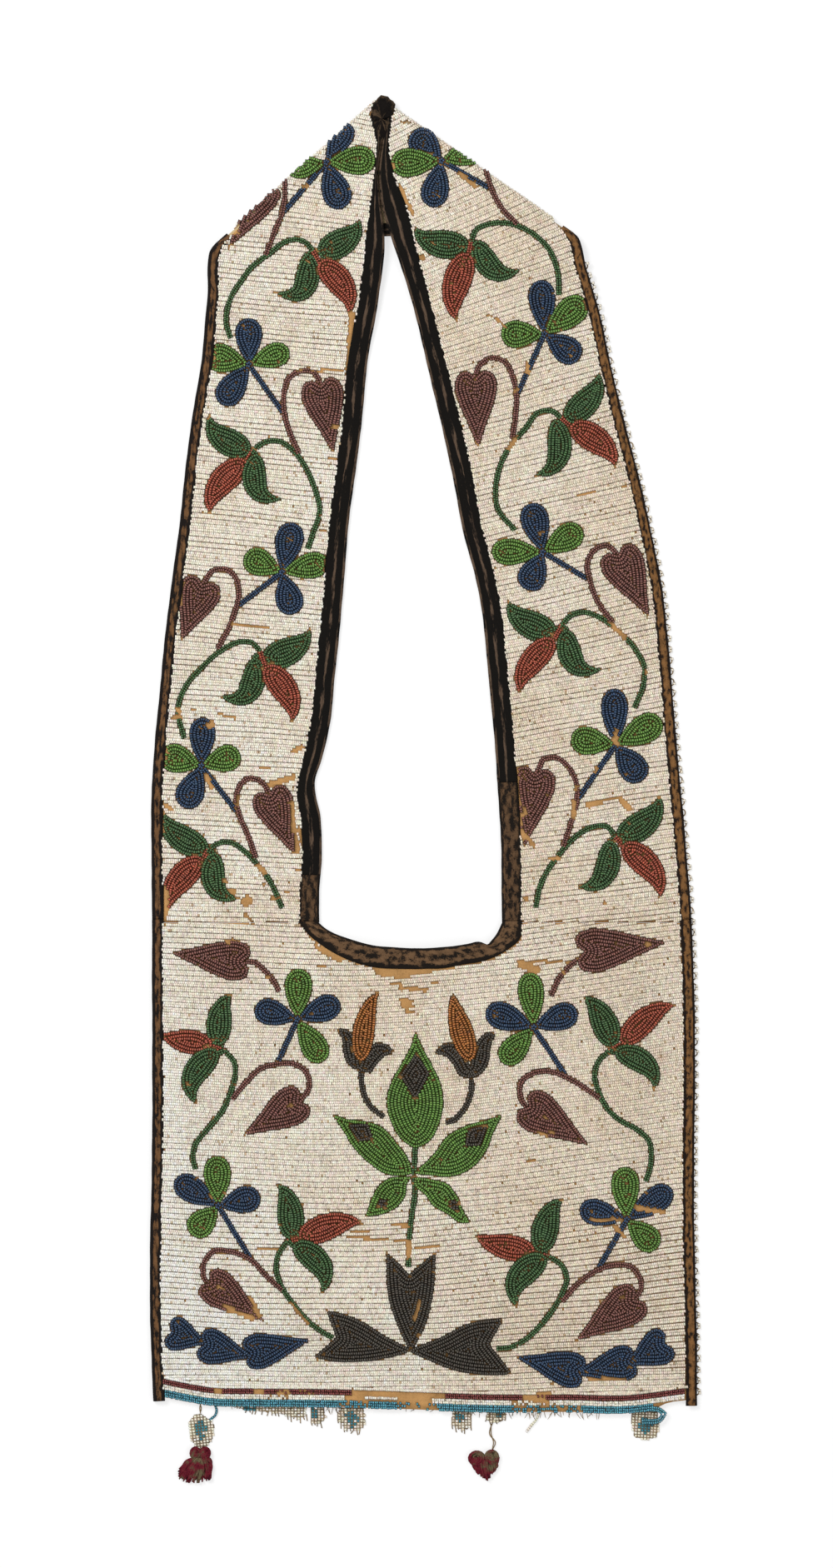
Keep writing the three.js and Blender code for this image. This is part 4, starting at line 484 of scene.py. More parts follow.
# Floral work: a plant in glass beads on each length of the strap and of the pouch. A flower on its
# stem, an arched stalk with a heart-shaped leaf, and a vine with three leaves. Outlines, to be strung.
#
# The joint is the point of the stalk where the stem meets it. A petal is its tip, width and dye; a
# leaf its base, tip, width, bow and dye; a heart its notch, tip and width.
SPRAYS = {
    "left_strap_spray_1": dict(
        centre=(-69, 436), joint=2,
        petals=[((-53, 463), 16, "blue"), ((-35, 438), 20, "green"), ((-58, 404), 20, "blue"),
            ((-96, 431), 16, "green")],
        leaves=[((-75, 373), (-46, 397.5), 20, -4, "leaf"),
            ((-82, 373), (-106, 346.5), 17, 12, "leaf"), ((-74, 367), (-54, 330), 19, 5, "red")],
        stalk=[(-98, 424), (-98, 410), (-100, 400), (-104, 390), (-111, 372)],
        vine=[(-78, 374), (-83, 380), (-90, 382.5), (-98, 380.5), (-108, 373), (-120, 364),
            (-128, 354), (-134, 345), (-138, 334), (-138.5, 324), (-136, 315)],
    ),
    "left_strap_spray_2": dict(
        centre=(-123, 296), joint=5, heart_leaf=((-73, 281.5), (-64, 234), 29),
        petals=[((-123, 328), 18.5, "blue"), ((-153, 303), 20, "green"), ((-95, 306), 17, "green"),
            ((-142.5, 268.5), 19, "blue")],
        leaves=[((-121.5, 236), (-150.5, 261.5), 19.5, 5, "leaf"),
            ((-124.5, 229), (-149.5, 191.5), 19, -5, "red"),
            ((-117, 234), (-98, 203), 17, -11, "leaf")],
        stalk=[(-73.7, 283.3), (-78.3, 290.9), (-87.6, 291.4), (-95.7, 285.7), (-98.6, 275.2),
            (-98, 260.7), (-93.4, 246.2), (-88.2, 234.6)],
        vine=[(-120.6, 235.8), (-111.4, 242.2), (-102.1, 242.7), (-92.8, 236.9), (-83.5, 224.2),
            (-77.1, 209.7), (-73.7, 194), (-78.3, 178.9), (-81.6, 168.5)],
    ),
    "left_strap_spray_3": dict(
        centre=(-100, 151.5), joint=5, heart_leaf=((-155, 143), (-170, 104), 29),
        petals=[((-92, 186), 19.5, "blue"), ((-126, 163), 19, "green"), ((-68, 159), 18, "green"),
            ((-92, 122.5), 19, "blue")],
        leaves=[((-113.5, 90.5), (-80.5, 113), 20, -4, "leaf"),
            ((-119, 92.5), (-145, 66.5), 17, 12, "leaf"), ((-112, 86), (-94, 46.5), 19, 5, "red")],
        stalk=[(-153.7, 144.7), (-148.5, 152.3), (-140.4, 154), (-132.8, 148.8), (-129.9, 139.5),
            (-131.7, 127.3), (-136.9, 112.8), (-144.4, 98.9)],
        vine=[(-114.8, 96), (-120.6, 102.4), (-129.9, 103), (-142.1, 97.2), (-156, 85),
            (-167, 72.2), (-172.3, 56.6), (-168.2, 36.8)],
    ),
    "left_strap_spray_4": dict(
        centre=(-156, 17), joint=5, heart_leaf=((-108.5, -3), (-91, -45), 28),
        petals=[((-155, 50.5), 18, "blue"), ((-184, 25), 20, "green"), ((-129, 25), 18.5, "green"),
            ((-168, -12), 19.5, "blue")],
        leaves=[((-151, -42), (-183, -13), 19, 5, "leaf"),
            ((-154.5, -47.5), (-179, -86), 19, -5, "red"),
            ((-146, -43), (-128, -75), 17, -10, "leaf")],
        stalk=[(-108.5, -3.2), (-114.8, 6.1), (-123, 8.4), (-129.3, 3.2), (-131.7, -3.8),
            (-129.3, -17.7), (-123, -32.8), (-118.3, -46.7)],
        vine=[(-151.4, -41.5), (-143.8, -36.8), (-135.7, -36.3), (-126.4, -42), (-117.2, -51.3),
            (-108.5, -62.9), (-100.3, -80.9)],
    ),
    "right_strap_spray_1": dict(
        centre=(11, 437), joint=1,
        petals=[((-9, 457), 20, "blue"), ((-24, 435), 20, "green"), ((4, 405), 19, "blue"),
            ((40, 446), 18, "green")],
        leaves=[((30, 379), (-8, 392), 20, 5, "leaf"), ((35, 382), (67, 363), 17, -9.5, "leaf"),
            ((30, 373), (22, 326), 20, -4, "red")],
        stalk=[(41.8, 431), (45.8, 417.3), (53.9, 402.8), (63.2, 393.5)],
        vine=[(31.3, 380.2), (35.4, 389.5), (45.8, 393.5), (58, 393.5), (72.5, 387.7),
            (85.3, 376.1), (91.6, 360.5), (92.6, 345)],
    ),
    "right_strap_spray_2": dict(
        centre=(82.5, 317), joint=5, heart_leaf=((34.8, 287), (36.5, 238), 29),
        petals=[((80, 354.5), 18.5, "blue"), ((111, 341), 20, "green"), ((52.5, 317), 19, "green"),
            ((107, 300), 19, "blue")],
        leaves=[((97, 257.5), (120, 291), 19, -4, "leaf"), ((90, 258), (74, 219), 17, 10, "leaf"),
            ((100.5, 253.5), (132, 224), 19.5, 4, "red")],
        stalk=[(34.8, 288), (37.7, 295.5), (47, 300.7), (55.1, 297.8), (60.9, 286.2), (63.2, 274),
            (62.6, 260.7), (60.3, 245)],
        vine=[(94.5, 258.4), (88.2, 263.6), (78.9, 263), (69.6, 252), (59.2, 239.8), (52.2, 226.5),
            (48.7, 210.8), (49.9, 196.3), (61.5, 181.5)],
    ),
    "right_strap_spray_3": dict(
        centre=(81.5, 165.5), joint=4, heart_leaf=((134, 163.5), (155.5, 120.5), 30),
        petals=[((73, 199.5), 19.5, "blue"), ((46, 166), 18.5, "green"),
            ((108.5, 182), 19, "green"), ((70, 139.5), 19.5, "blue")],
        leaves=[((91, 109), (57.5, 133), 20, 4.5, "leaf"),
            ((89.5, 105), (65.5, 66.5), 18, -4, "red"), ((98, 112), (124, 85), 17, -10.5, "leaf")],
        stalk=[(132.8, 164.4), (125.9, 170.2), (117.7, 167.3), (112.5, 158), (114.3, 145.9),
            (119.5, 131.4), (129.9, 116.9)],
        vine=[(94.5, 114.5), (100.9, 121.5), (109, 123.8), (121.8, 119.8), (134, 110.5),
            (145.6, 98.3), (152, 85.6), (151.4, 73.4), (145.4, 58)],
    ),
    "right_strap_spray_4": dict(
        centre=(132, 31.5), joint=5, heart_leaf=((76, 11), (68.5, -40), 30),
        petals=[((131, 70.5), 18.5, "blue"), ((101, 36), 19.5, "green"), ((164, 49), 20, "green"),
            ((151, 7), 20, "blue")],
        leaves=[((133, -33.5), (162.5, -3), 20, -5, "leaf"),
            ((128, -34.5), (104, -67), 17, 9.5, "leaf"),
            ((136.5, -38), (162.5, -75.5), 19, 5.5, "red")],
        stalk=[(77.7, 12.5), (82.4, 21.8), (91.6, 22.3), (99.2, 16), (105, 3.8), (105, -7.3),
            (100.3, -25.2), (95.7, -38.6)],
        vine=[(132.2, -32.8), (125.9, -25.2), (117.2, -25.2), (105, -31.6), (94.5, -42.6),
            (84.7, -56), (79.5, -67), (76.6, -80.9)],
    ),
    "left_pouch_spray_1": dict(
        centre=(-89, -159), joint=4, heart_leaf=((-88, -216), (-126.5, -239.5), 27),
        petals=[((-88, -124), 19, "green"), ((-118.5, -151), 18, "blue"),
            ((-59.5, -147), 18, "blue"), ((-71, -188), 18.5, "green")],
        leaves=[((-144, -177.5), (-134, -141), 18, 3, "leaf"),
            ((-148, -177.5), (-184.5, -168.5), 17, 0.5, "red"),
            ((-144, -181), (-158, -219), 18, -8.5, "leaf")],
        stalk=[(-87, -214.9), (-80.6, -203.9), (-83, -195.2), (-91.6, -190), (-103.2, -190),
            (-115, -193.4), (-124, -202), (-134, -213.7)],
        vine=[(-139.8, -180.7), (-132.8, -188.8), (-132.2, -197.5), (-135.1, -209),
            (-140.4, -221.3), (-151.4, -235.2), (-160, -246.2), (-161.8, -254.9), (-160.2, -262.5)],
    ),
    "left_pouch_spray_2": dict(
        centre=(-144, -288.5), joint=4, heart_leaf=((-149.5, -342), (-111.5, -369), 26),
        petals=[((-174, -270.5), 18.5, "blue"), ((-145, -254), 19, "green"),
            ((-115, -281.5), 18.5, "blue"), ((-163, -308.5), 18.5, "green")],
        leaves=[((-93, -312), (-103.5, -273), 19, -3, "leaf"),
            ((-88, -311), (-43.5, -300.5), 19, 2.5, "red"),
            ((-92, -315), (-73, -350), 18, 8, "leaf")],
        stalk=[(-151.4, -342), (-154.3, -329.2), (-145.6, -319.3), (-136.3, -319.9),
            (-120.6, -326.3), (-111.4, -336.1), (-99.8, -346.6)],
        vine=[(-95.7, -312.9), (-102.7, -323.4), (-103.8, -330.9), (-99.8, -344.8), (-89.9, -358.7),
            (-79.5, -370.3), (-72.5, -375.5), (-65, -379.8)],
    ),
    "right_pouch_spray_1": dict(
        centre=(75, -164.5), joint=5, heart_leaf=((71.5, -219.5), (113.5, -246.5), 29),
        petals=[((72, -126.5), 18, "green"), ((42, -152.5), 19, "blue"),
            ((105, -153), 18.5, "blue"), ((53, -189), 18, "green")],
        leaves=[((130, -178), (108.5, -143.5), 19, -3, "leaf"),
            ((136, -176), (174, -149.5), 18, 3, "red"),
            ((131, -181), (158.5, -209.5), 17, 7.5, "leaf")],
        stalk=[(70.2, -219.5), (65.5, -211.4), (66.1, -202.7), (74.8, -196.3), (87, -195.2),
            (98, -199.2), (109, -205.6), (120.6, -213.7)],
        vine=[(127.6, -180.7), (120, -188.2), (117.2, -198), (120, -209), (125.9, -220.7),
            (134.6, -228.8), (147.9, -236.4), (155.4, -244.5), (156.6, -252.6), (156, -261.9),
            (153, -271)],
    ),
    "right_pouch_spray_2": dict(
        centre=(139.5, -298), joint=5, heart_leaf=((145, -353.5), (104, -382), 29),
        petals=[((138, -261.5), 19.5, "green"), ((107, -290), 18, "blue"),
            ((171, -277), 18, "blue"), ((161, -318), 18.5, "green")],
        leaves=[((80.5, -321), (96, -283.5), 19, 3.5, "leaf"),
            ((76, -321), (34.5, -308), 18, 1, "red"), ((84, -324), (64.5, -360), 19, -8.5, "leaf")],
        stalk=[(145.6, -352.4), (149.6, -345.4), (148.5, -337.9), (142.7, -330.9), (131.7, -329.2),
            (118.9, -333.2), (105.6, -342.5), (95.1, -354)],
        vine=[(85.3, -323.4), (94, -329.2), (98, -339), (95.1, -348.3), (89.3, -358.7),
            (80.6, -370.3), (69, -381.4), (57.4, -387.2), (50, -387.6)],
    ),
}
STEM_WIDTH, STALK_WIDTH, EYE_RADIUS = 3.6, 3.4, 2.6


def moved(p, d, far):
    return (p[0] + d[0] * far, p[1] + d[1] * far)


def direction(a, b):
    far = math.hypot(b[0] - a[0], b[1] - a[1])
    return ((b[0] - a[0]) / far, (b[1] - a[1]) / far)


def sided(axis, half_width, stations):
    """A closed outline on both sides of an axis, from its base to its tip and back."""
    sides = []
    for sign in (-1, 1):
        side = []
        for t in stations:
            p, d = axis(t)
            side.append(moved(p, (-d[1], d[0]), sign * half_width(t)))
        sides.append(side)
    return np.array([axis(0)[0], *sides[0], axis(1)[0], *reversed(sides[1])])


# Each shape below is its outline, its middle line where it is a stem, and its dye
def petal(base, tip, width, dye):
    d, far = direction(base, tip), math.dist(base, tip)
    stations = 1 - np.linspace(0.97, 0.03, 22) ** 2

    def half_width(t):
        return 1.3 * width * t * math.sqrt(max(1 - t, 0))

    return sided(lambda t: (moved(base, d, t * far), d), half_width, stations), None, dye


def leaf(base, tip, width, bow, dye):
    """Full near its base and slender at its tip, which hooks the way that its middle bows."""
    d, far = direction(base, tip), math.dist(base, tip)
    across = (-d[1], d[0])
    hook = bow * 0.9 + math.copysign(2.2, bow if bow else 1)
    near = moved(moved(base, d, 0.42 * far), across, 1.5 * bow)
    late = moved(moved(base, d, 0.80 * far), across, 1.5 * hook)

    def axis(t):
        u = 1 - t
        p, q = [], []
        for a, b, c, e in zip(base, near, late, tip):
            p.append(u**3 * a + 3 * u * u * t * b + 3 * u * t * t * c + t**3 * e)
            q.append(u * u * (b - a) + 2 * u * t * (c - b) + t * t * (e - c))
        run = math.hypot(*q)
        return p, (q[0] / run, q[1] / run)

    def half_width(t):
        return 1.33 * width * t**0.5 * (1 - t) ** 1.12

    return sided(axis, half_width, np.linspace(0.02, 0.97, 24)), None, dye


def heart(notch, tip, width, dye):
    d, far = direction(notch, tip), math.dist(notch, tip)
    lobe = [(-0.09, 0.2), (-0.06, 0.39), (0.1, 0.5), (0.35, 0.42), (0.65, 0.22)]
    one, other = (
        [moved(moved(notch, d, u * far), (-d[1], d[0]), s * v * width) for u, v in lobe] for s in (-1, 1)
    )
    return shape([notch, *one, tip, *other[::-1]], dye)


def shape(points, dye):
    return smooth_line(points, 1.0, closed=True, corner=62), None, dye


def beside(line, far):
    """The line moved to its left."""
    d = np.gradient(np.asarray(line, float), axis=0)
    d /= np.maximum(np.hypot(*d.T), 1e-9)[:, None]
    return line + np.column_stack([-d[:, 1], d[:, 0]]) * far


def stem(points, width, dye):
    line = smooth_line(points, 1.5, corner=80)
    return np.vstack([beside(line, width / 2), beside(line, -width / 2)[::-1]]), line, dye


def rooted(base, tip):
    """A point a little inside a leaf, where its stalk ends."""
    return moved(base, direction(base, tip), 2)


def spray_shapes(centre, joint, petals, leaves, stalk, vine, heart_leaf=None):
    found = [stem(vine, STALK_WIDTH, "leaf"), stem([centre, stalk[joint]], STEM_WIDTH, "blue")]
    if heart_leaf:
        notch, tip, width = heart_leaf
        found.append(stem([rooted(notch, tip), *stalk], STALK_WIDTH, "maroon"))
        found.append(heart(notch, tip, width, "maroon"))
    else:
        found.append(stem(stalk, STALK_WIDTH, "maroon"))
    for base, tip, width, bow, dye in leaves:
        found.append(stem([vine[0], rooted(base, tip)], STALK_WIDTH, dye))
        found.append(leaf(base, tip, width, bow, dye))
    found += [petal(centre, tip, width, dye) for tip, width, dye in petals]
    ring = [(math.cos(a), math.sin(a)) for a in np.linspace(0, 2 * math.pi, 12, endpoint=False)]
    found.append((np.array([moved(centre, d, EYE_RADIUS) for d in ring]), None, "blue"))
    return found


FLORAL = {
    name: ("pouch" if "pouch" in name else name.split("_")[0], spray_shapes(**spray))
    for name, spray in SPRAYS.items()
}
FLORAL["left_top_heart_leaf"] = ("left", [heart((-109, 417), (-138, 375.5), 20, "maroon")])
FLORAL["left_heart_leaf_sprig"] = ("pouch", [
    stem([(-129, -119), (-118, -120), (-112, -125), (-106, -132), (-102, -139)], STALK_WIDTH, "maroon"),
    heart((-127, -119), (-178, -113), 27, "maroon"),
])
FLORAL["right_heart_leaf_sprig"] = ("pouch", [
    stem([(114, -112), (107, -117), (100, -122), (93, -130), (87, -142)], STALK_WIDTH, "maroon"),
    heart((110, -112), (168, -105.5), 30, "maroon"),
])
FLORAL["middle_plant"] = ("pouch", [
    stem(
        [(-7, -244), (-8, -265), (-7.5, -280), (-10, -297), (-11.5, -312), (-12, -330)], STEM_WIDTH, "leaf"
    ),
    shape([
        (-66, -224), (-55, -228), (-40, -230), (-30, -234), (-20, -245), (-12, -256), (-9, -266),
        (-13, -267), (-28, -266), (-40, -258), (-50, -248), (-58, -235),
    ], "green"),
    shape([(-54, -232), (-40, -231), (-36, -242), (-46, -244)], "charcoal"),
    shape([
        (54, -224), (48, -235), (42, -250), (32, -262), (18, -268), (2, -267), (-9, -266), (6, -252),
        (15, -240), (30, -232), (45, -228),
    ], "green"),
    shape([(27, -247), (38, -247), (43, -232.5), (30, -236)], "charcoal"),
    shape([
        (-42, -296), (-38, -285), (-33, -275), (-25, -269), (-14, -268), (-8, -268), (-12.5, -272),
        (-14, -281), (-20, -289), (-30, -294),
    ], "green"),
    shape([(-33, -284), (-27, -284), (-27, -290), (-33, -290)], "charcoal"),
    shape([
        (32, -300), (24, -300), (15, -294), (5, -288), (-1, -280), (-8, -274), (-8, -268), (5, -270),
        (15, -273), (22, -282), (28, -295),
    ], "green"),
    shape([(17, -284), (23, -285), (23, -293), (16, -290)], "charcoal"),
    shape([
        (-7, -165.5), (-10, -177), (-17, -190), (-24, -203), (-27, -215), (-24, -230), (-17, -242),
        (-7, -248), (3, -243), (9, -232), (12, -215), (10, -203), (4, -190), (-3, -177),
    ], "green"),
    shape([(-7, -182), (-18, -198), (-7, -215.5), (3, -196)], "charcoal"),
])
FLORAL["charcoal_leaves"] = ("pouch", [
    shape([
        (-27, -320), (-27, -340), (-25, -355), (-20, -370), (-10.5, -391), (0, -370), (5, -350),
        (7, -320), (-11.5, -336),
    ], "charcoal"),
    shape([
        (-69, -361), (-55, -364), (-42, -370), (-28, -379), (-8, -389), (-25, -394), (-45, -397),
        (-62, -397), (-78, -394), (-62, -380),
    ], "charcoal"),
    shape([
        (-13, -389), (10, -380), (30, -370), (54.5, -366), (44, -384.5), (60.5, -406), (45, -406.5),
        (20, -403), (2, -396),
    ], "charcoal"),
])
FLORAL["left_tulip"] = ("pouch", [
    stem([(-45, -192), (-44, -206), (-40, -217), (-34, -223), (-29.5, -226)], STEM_WIDTH, "charcoal"),
    shape([
        (-62, -165), (-53, -167), (-48, -176), (-46, -192), (-42, -182), (-36, -176), (-28, -176),
        (-21, -182), (-28, -184), (-34, -190), (-38, -196), (-45, -195), (-53, -191), (-57, -181),
        (-58, -173),
    ], "charcoal"),
    leaf((-45, -188), (-31.5, -139.5), 15.5, 3, "ochre"),
])
FLORAL["right_tulip"] = ("pouch", [
    stem([(31.5, -195), (31, -212), (26, -222), (19, -229), (14.5, -230.5)], STEM_WIDTH, "charcoal"),
    shape([
        (6, -183), (12, -176.5), (20, -176), (26, -182), (31, -192), (33, -182), (37, -173), (43, -168),
        (49, -169), (45, -177), (44, -187), (40, -195), (33, -199.5), (24, -198), (19, -190), (13, -184),
    ], "charcoal"),
    leaf((31, -188), (19, -140), 16.5, 0, "ochre"),
])
FLORAL["left_blue_heart_leaves"] = ("pouch", [
    heart((-177, -376.5), (-151, -384.5), 24, "blue"),
    heart((-154, -385), (-119, -394), 25, "blue"),
    heart((-122, -391), (-79.5, -381.5), 25, "blue"),
])
FLORAL["right_blue_heart_leaves"] = ("pouch", [
    heart((166.5, -384.5), (138, -400), 26, "blue"),
    heart((142, -397), (102, -406), 25, "blue"),
    heart((106, -404), (62, -393.5), 25, "blue"),
])

# Beads: small glass seed beads, strung and sewn down in rows. One is modelled, and each piece of
# beadwork is many of it, set along its rows, with a dye of its own that varies a little and with
# painted light and shade on each bead.
BEAD_ALONG, BEAD_ACROSS, BEAD_HIGH = 1.44, 1.96, 1.7
ROW_PITCH, BEAD_PITCH = 1.86, 1.38
FLORAL_BEAD, STEM_BEAD = (1.62, 2.45, 1.6), (1.62, 1.85, 1.6)
FLORAL_ROW, FLORAL_PITCH = 2.4, 1.6
GROUND_LEVEL, FLORAL_LEVEL = 3.4, 4.3
# Painted light on each bead: how much its dye is brightened at its crown and darkened at its side and
# foot (painted shade), and the painted highlight that its crown adds
WHITE_PAINTED_LIGHT, DYED_PAINTED_LIGHT = ((1.10, 0.86, 0.5), 0.0), ((4.2, 0.10, 0.02), 0.06)
DYES = {
    "white": (0.93, 0.86, 0.74), "green": (0.046, 0.098, 0.014), "blue": (0.006, 0.018, 0.041),
    "leaf": (0.019, 0.047, 0.013), "red": (0.140, 0.027, 0.012), "maroon": (0.076, 0.028, 0.021),
    "charcoal": (0.020, 0.016, 0.011), "ochre": (0.150, 0.050, 0.007),
    "dark red": (0.075, 0.013, 0.011), "turquoise": (0.030, 0.120, 0.155),
}

bpy.ops.mesh.primitive_cube_add(size=1)
bead_model = bpy.context.object


def pick_corners(model, chosen):
    bpy.ops.object.mode_set(mode="EDIT")
    bpy.ops.mesh.select_all(action="DESELECT")
    bpy.ops.mesh.select_mode(type="VERT")
    bpy.ops.object.mode_set(mode="OBJECT")
    for corner in model.data.vertices:
        corner.select = chosen(corner.co)
    bpy.ops.object.mode_set(mode="EDIT")


bpy.ops.object.mode_set(mode="EDIT")
bpy.ops.mesh.select_all(action="SELECT")
bpy.ops.mesh.bisect(plane_co=(0, 0, 0), plane_no=(0, 0, 1))
for half in (1, -1):
    pick_corners(bead_model, lambda co: co.z * half > 0.1)
    bpy.ops.mesh.merge(type="CENTER")
bpy.ops.mesh.select_all(action="SELECT")
bpy.ops.mesh.quads_convert_to_tris()
bpy.ops.mesh.normals_make_consistent(inside=False)
bpy.ops.object.mode_set(mode="OBJECT")
unit = np.array([corner.co for corner in bead_model.data.vertices])
UNIT_FACES = np.array([face.vertices for face in bead_model.data.polygons])
bpy.data.objects.remove(bead_model)


def strung(name, places, runs, dyes, finish, size=(BEAD_ALONG, BEAD_ACROSS, BEAD_HIGH)):
    """A piece of beadwork: the bead at every place, turned along its row, with its own dye, on which light
    and shade are painted.
    """
    (crown, side, foot), painted_highlight = WHITE_PAINTED_LIGHT if finish is white_glass else DYED_PAINTED_LIGHT
    n = len(places)
    runs = runs / np.maximum(np.hypot(*runs.T), 1e-9)[:, None]
    scale = rng.normal(1, 0.06, (n, 3)).clip(0.85, 1.15)
    x, y, z = (unit[None, :, k] * (np.broadcast_to(size, (n, 3)) * scale)[:, k : k + 1] for k in range(3))
    points = np.stack([
        places[:, :1] + x * runs[:, :1] - y * runs[:, 1:],
        places[:, 1:2] + x * runs[:, 1:] + y * runs[:, :1],
        places[:, 2:] + z,
    ], axis=2).reshape(-1, 3) * MM
    corners = (UNIT_FACES[None] + (np.arange(n) * len(unit))[:, None, None]).reshape(-1)
    mesh = bpy.data.meshes.new(name)
    mesh.vertices.add(len(points))
    mesh.vertices.foreach_set("co", points.astype(np.float32).ravel())
    mesh.loops.add(len(corners))
    mesh.loops.foreach_set("vertex_index", corners.astype(np.int32))
    mesh.polygons.add(len(corners) // 3)
    mesh.polygons.foreach_set("loop_start", np.arange(0, len(corners), 3, dtype=np.int32))
    mesh.update(calc_edges=True)
    mesh.shade_smooth()
    colour = mesh.attributes.new("dye", "FLOAT_COLOR", "POINT")
    # Painted light and shade, kept in the 'dye' colour: each bead is brighter at its crown and darker at
    # its side and foot, where the beads press on one another and shade falls, with a painted highlight on
    # top
    share = np.interp(unit[:, 2], [-0.5, 0, 0.5], [foot, side, crown])
    painted_lit = dyes[:, None, :] * share[None, :, None] + painted_highlight * (unit[None, :, 2:] > 0.1)
    shade = np.concatenate([painted_lit, np.ones((n, len(unit), 1))], axis=2).reshape(-1, 4).clip(0, 1)
    colour.data.foreach_set("color", shade.astype(np.float32).ravel())
    piece = bpy.data.objects.new(name, mesh)
    bpy.context.collection.objects.link(piece)
    piece.data.materials.append(finish)
    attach(piece, "root")
    return piece


def glass(name, roughness, coat):
    """Glass in each bead's 'dye' colour, which holds its dye with painted light and shade, and thin grime
    in patches of noise.
    """
    material, nodes, links, shader = new_material(name, roughness)
    # Each bead's dye, with its painted light, shade and highlight
    dye = nodes.new("ShaderNodeAttribute")
    dye.attribute_name = "dye"
    grime = noise_at(nodes, links, 110, 4)
    grain = noise_at(nodes, links, 1400, 1)
    both = maths(nodes, links, "MULTIPLY_ADD", grain, 0.4, grime)
    tone = ramped(nodes, links, both, [(0.35, (0.84, 0.79, 0.71)), (0.7, (1, 1, 1))])
    mix = nodes.new("ShaderNodeMix")
    mix.data_type = "RGBA"
    mix.blend_type = "MULTIPLY"
    mix.inputs["Factor"].default_value = 1
    links.new(dye.outputs["Color"], mix.inputs["A"])
    links.new(tone, mix.inputs["B"])
    links.new(mix.outputs["Result"], shader.inputs["Base Color"])
    shader.inputs["Coat Weight"].default_value = coat
    shader.inputs["Coat Roughness"].default_value = 0.15
    return material


white_glass = glass("white glass beads", 0.4, 0.1)
dyed_glass = glass("coloured glass beads", 0.3, 0.1)


def inside(p, outline):
    """Which points lie inside a closed outline."""
    p, o = np.asarray(p), np.asarray(outline)
    low, high = o.min(0), o.max(0)
    found = np.zeros(len(p), bool)
    near = np.flatnonzero(((p >= low) & (p <= high)).all(1))
    if not len(near):
        return found
    q, r = p[near], np.roll(o, -1, axis=0)
    crossings = np.zeros(len(near), bool)
    for a, b in zip(o, r):
        if a[1] == b[1]:
            continue
        hit = (a[1] > q[:, 1]) != (b[1] > q[:, 1])
        at = a[0] + (q[:, 1] - a[1]) * (b[0] - a[0]) / (b[1] - a[1])
        crossings ^= hit & (q[:, 0] < at)
    found[near] = crossings
    return found


def far_from(p, line, closed=True):
    """Distance of each point from a line."""
    a = np.asarray(line)
    b = np.roll(a, -1, axis=0) if closed else a[1:]
    a = a if closed else a[:-1]
    d = b - a
    length = np.maximum((d**2).sum(1), 1e-12)
    t = np.clip(((p[:, None] - a[None]) * d).sum(2) / length, 0, 1)
    near = a + t[..., None] * d
    return np.sqrt(((p[:, None] - near) ** 2).sum(2)).min(1)


def grown(outline, far):
    """The outline moved outwards all round."""
    o = np.asarray(outline)
    d = np.roll(o, -1, axis=0) - np.roll(o, 1, axis=0)
    d /= np.maximum(np.hypot(*d.T), 1e-9)[:, None]
    return o + np.column_stack([d[:, 1], -d[:, 0]]) * far * winding(o)


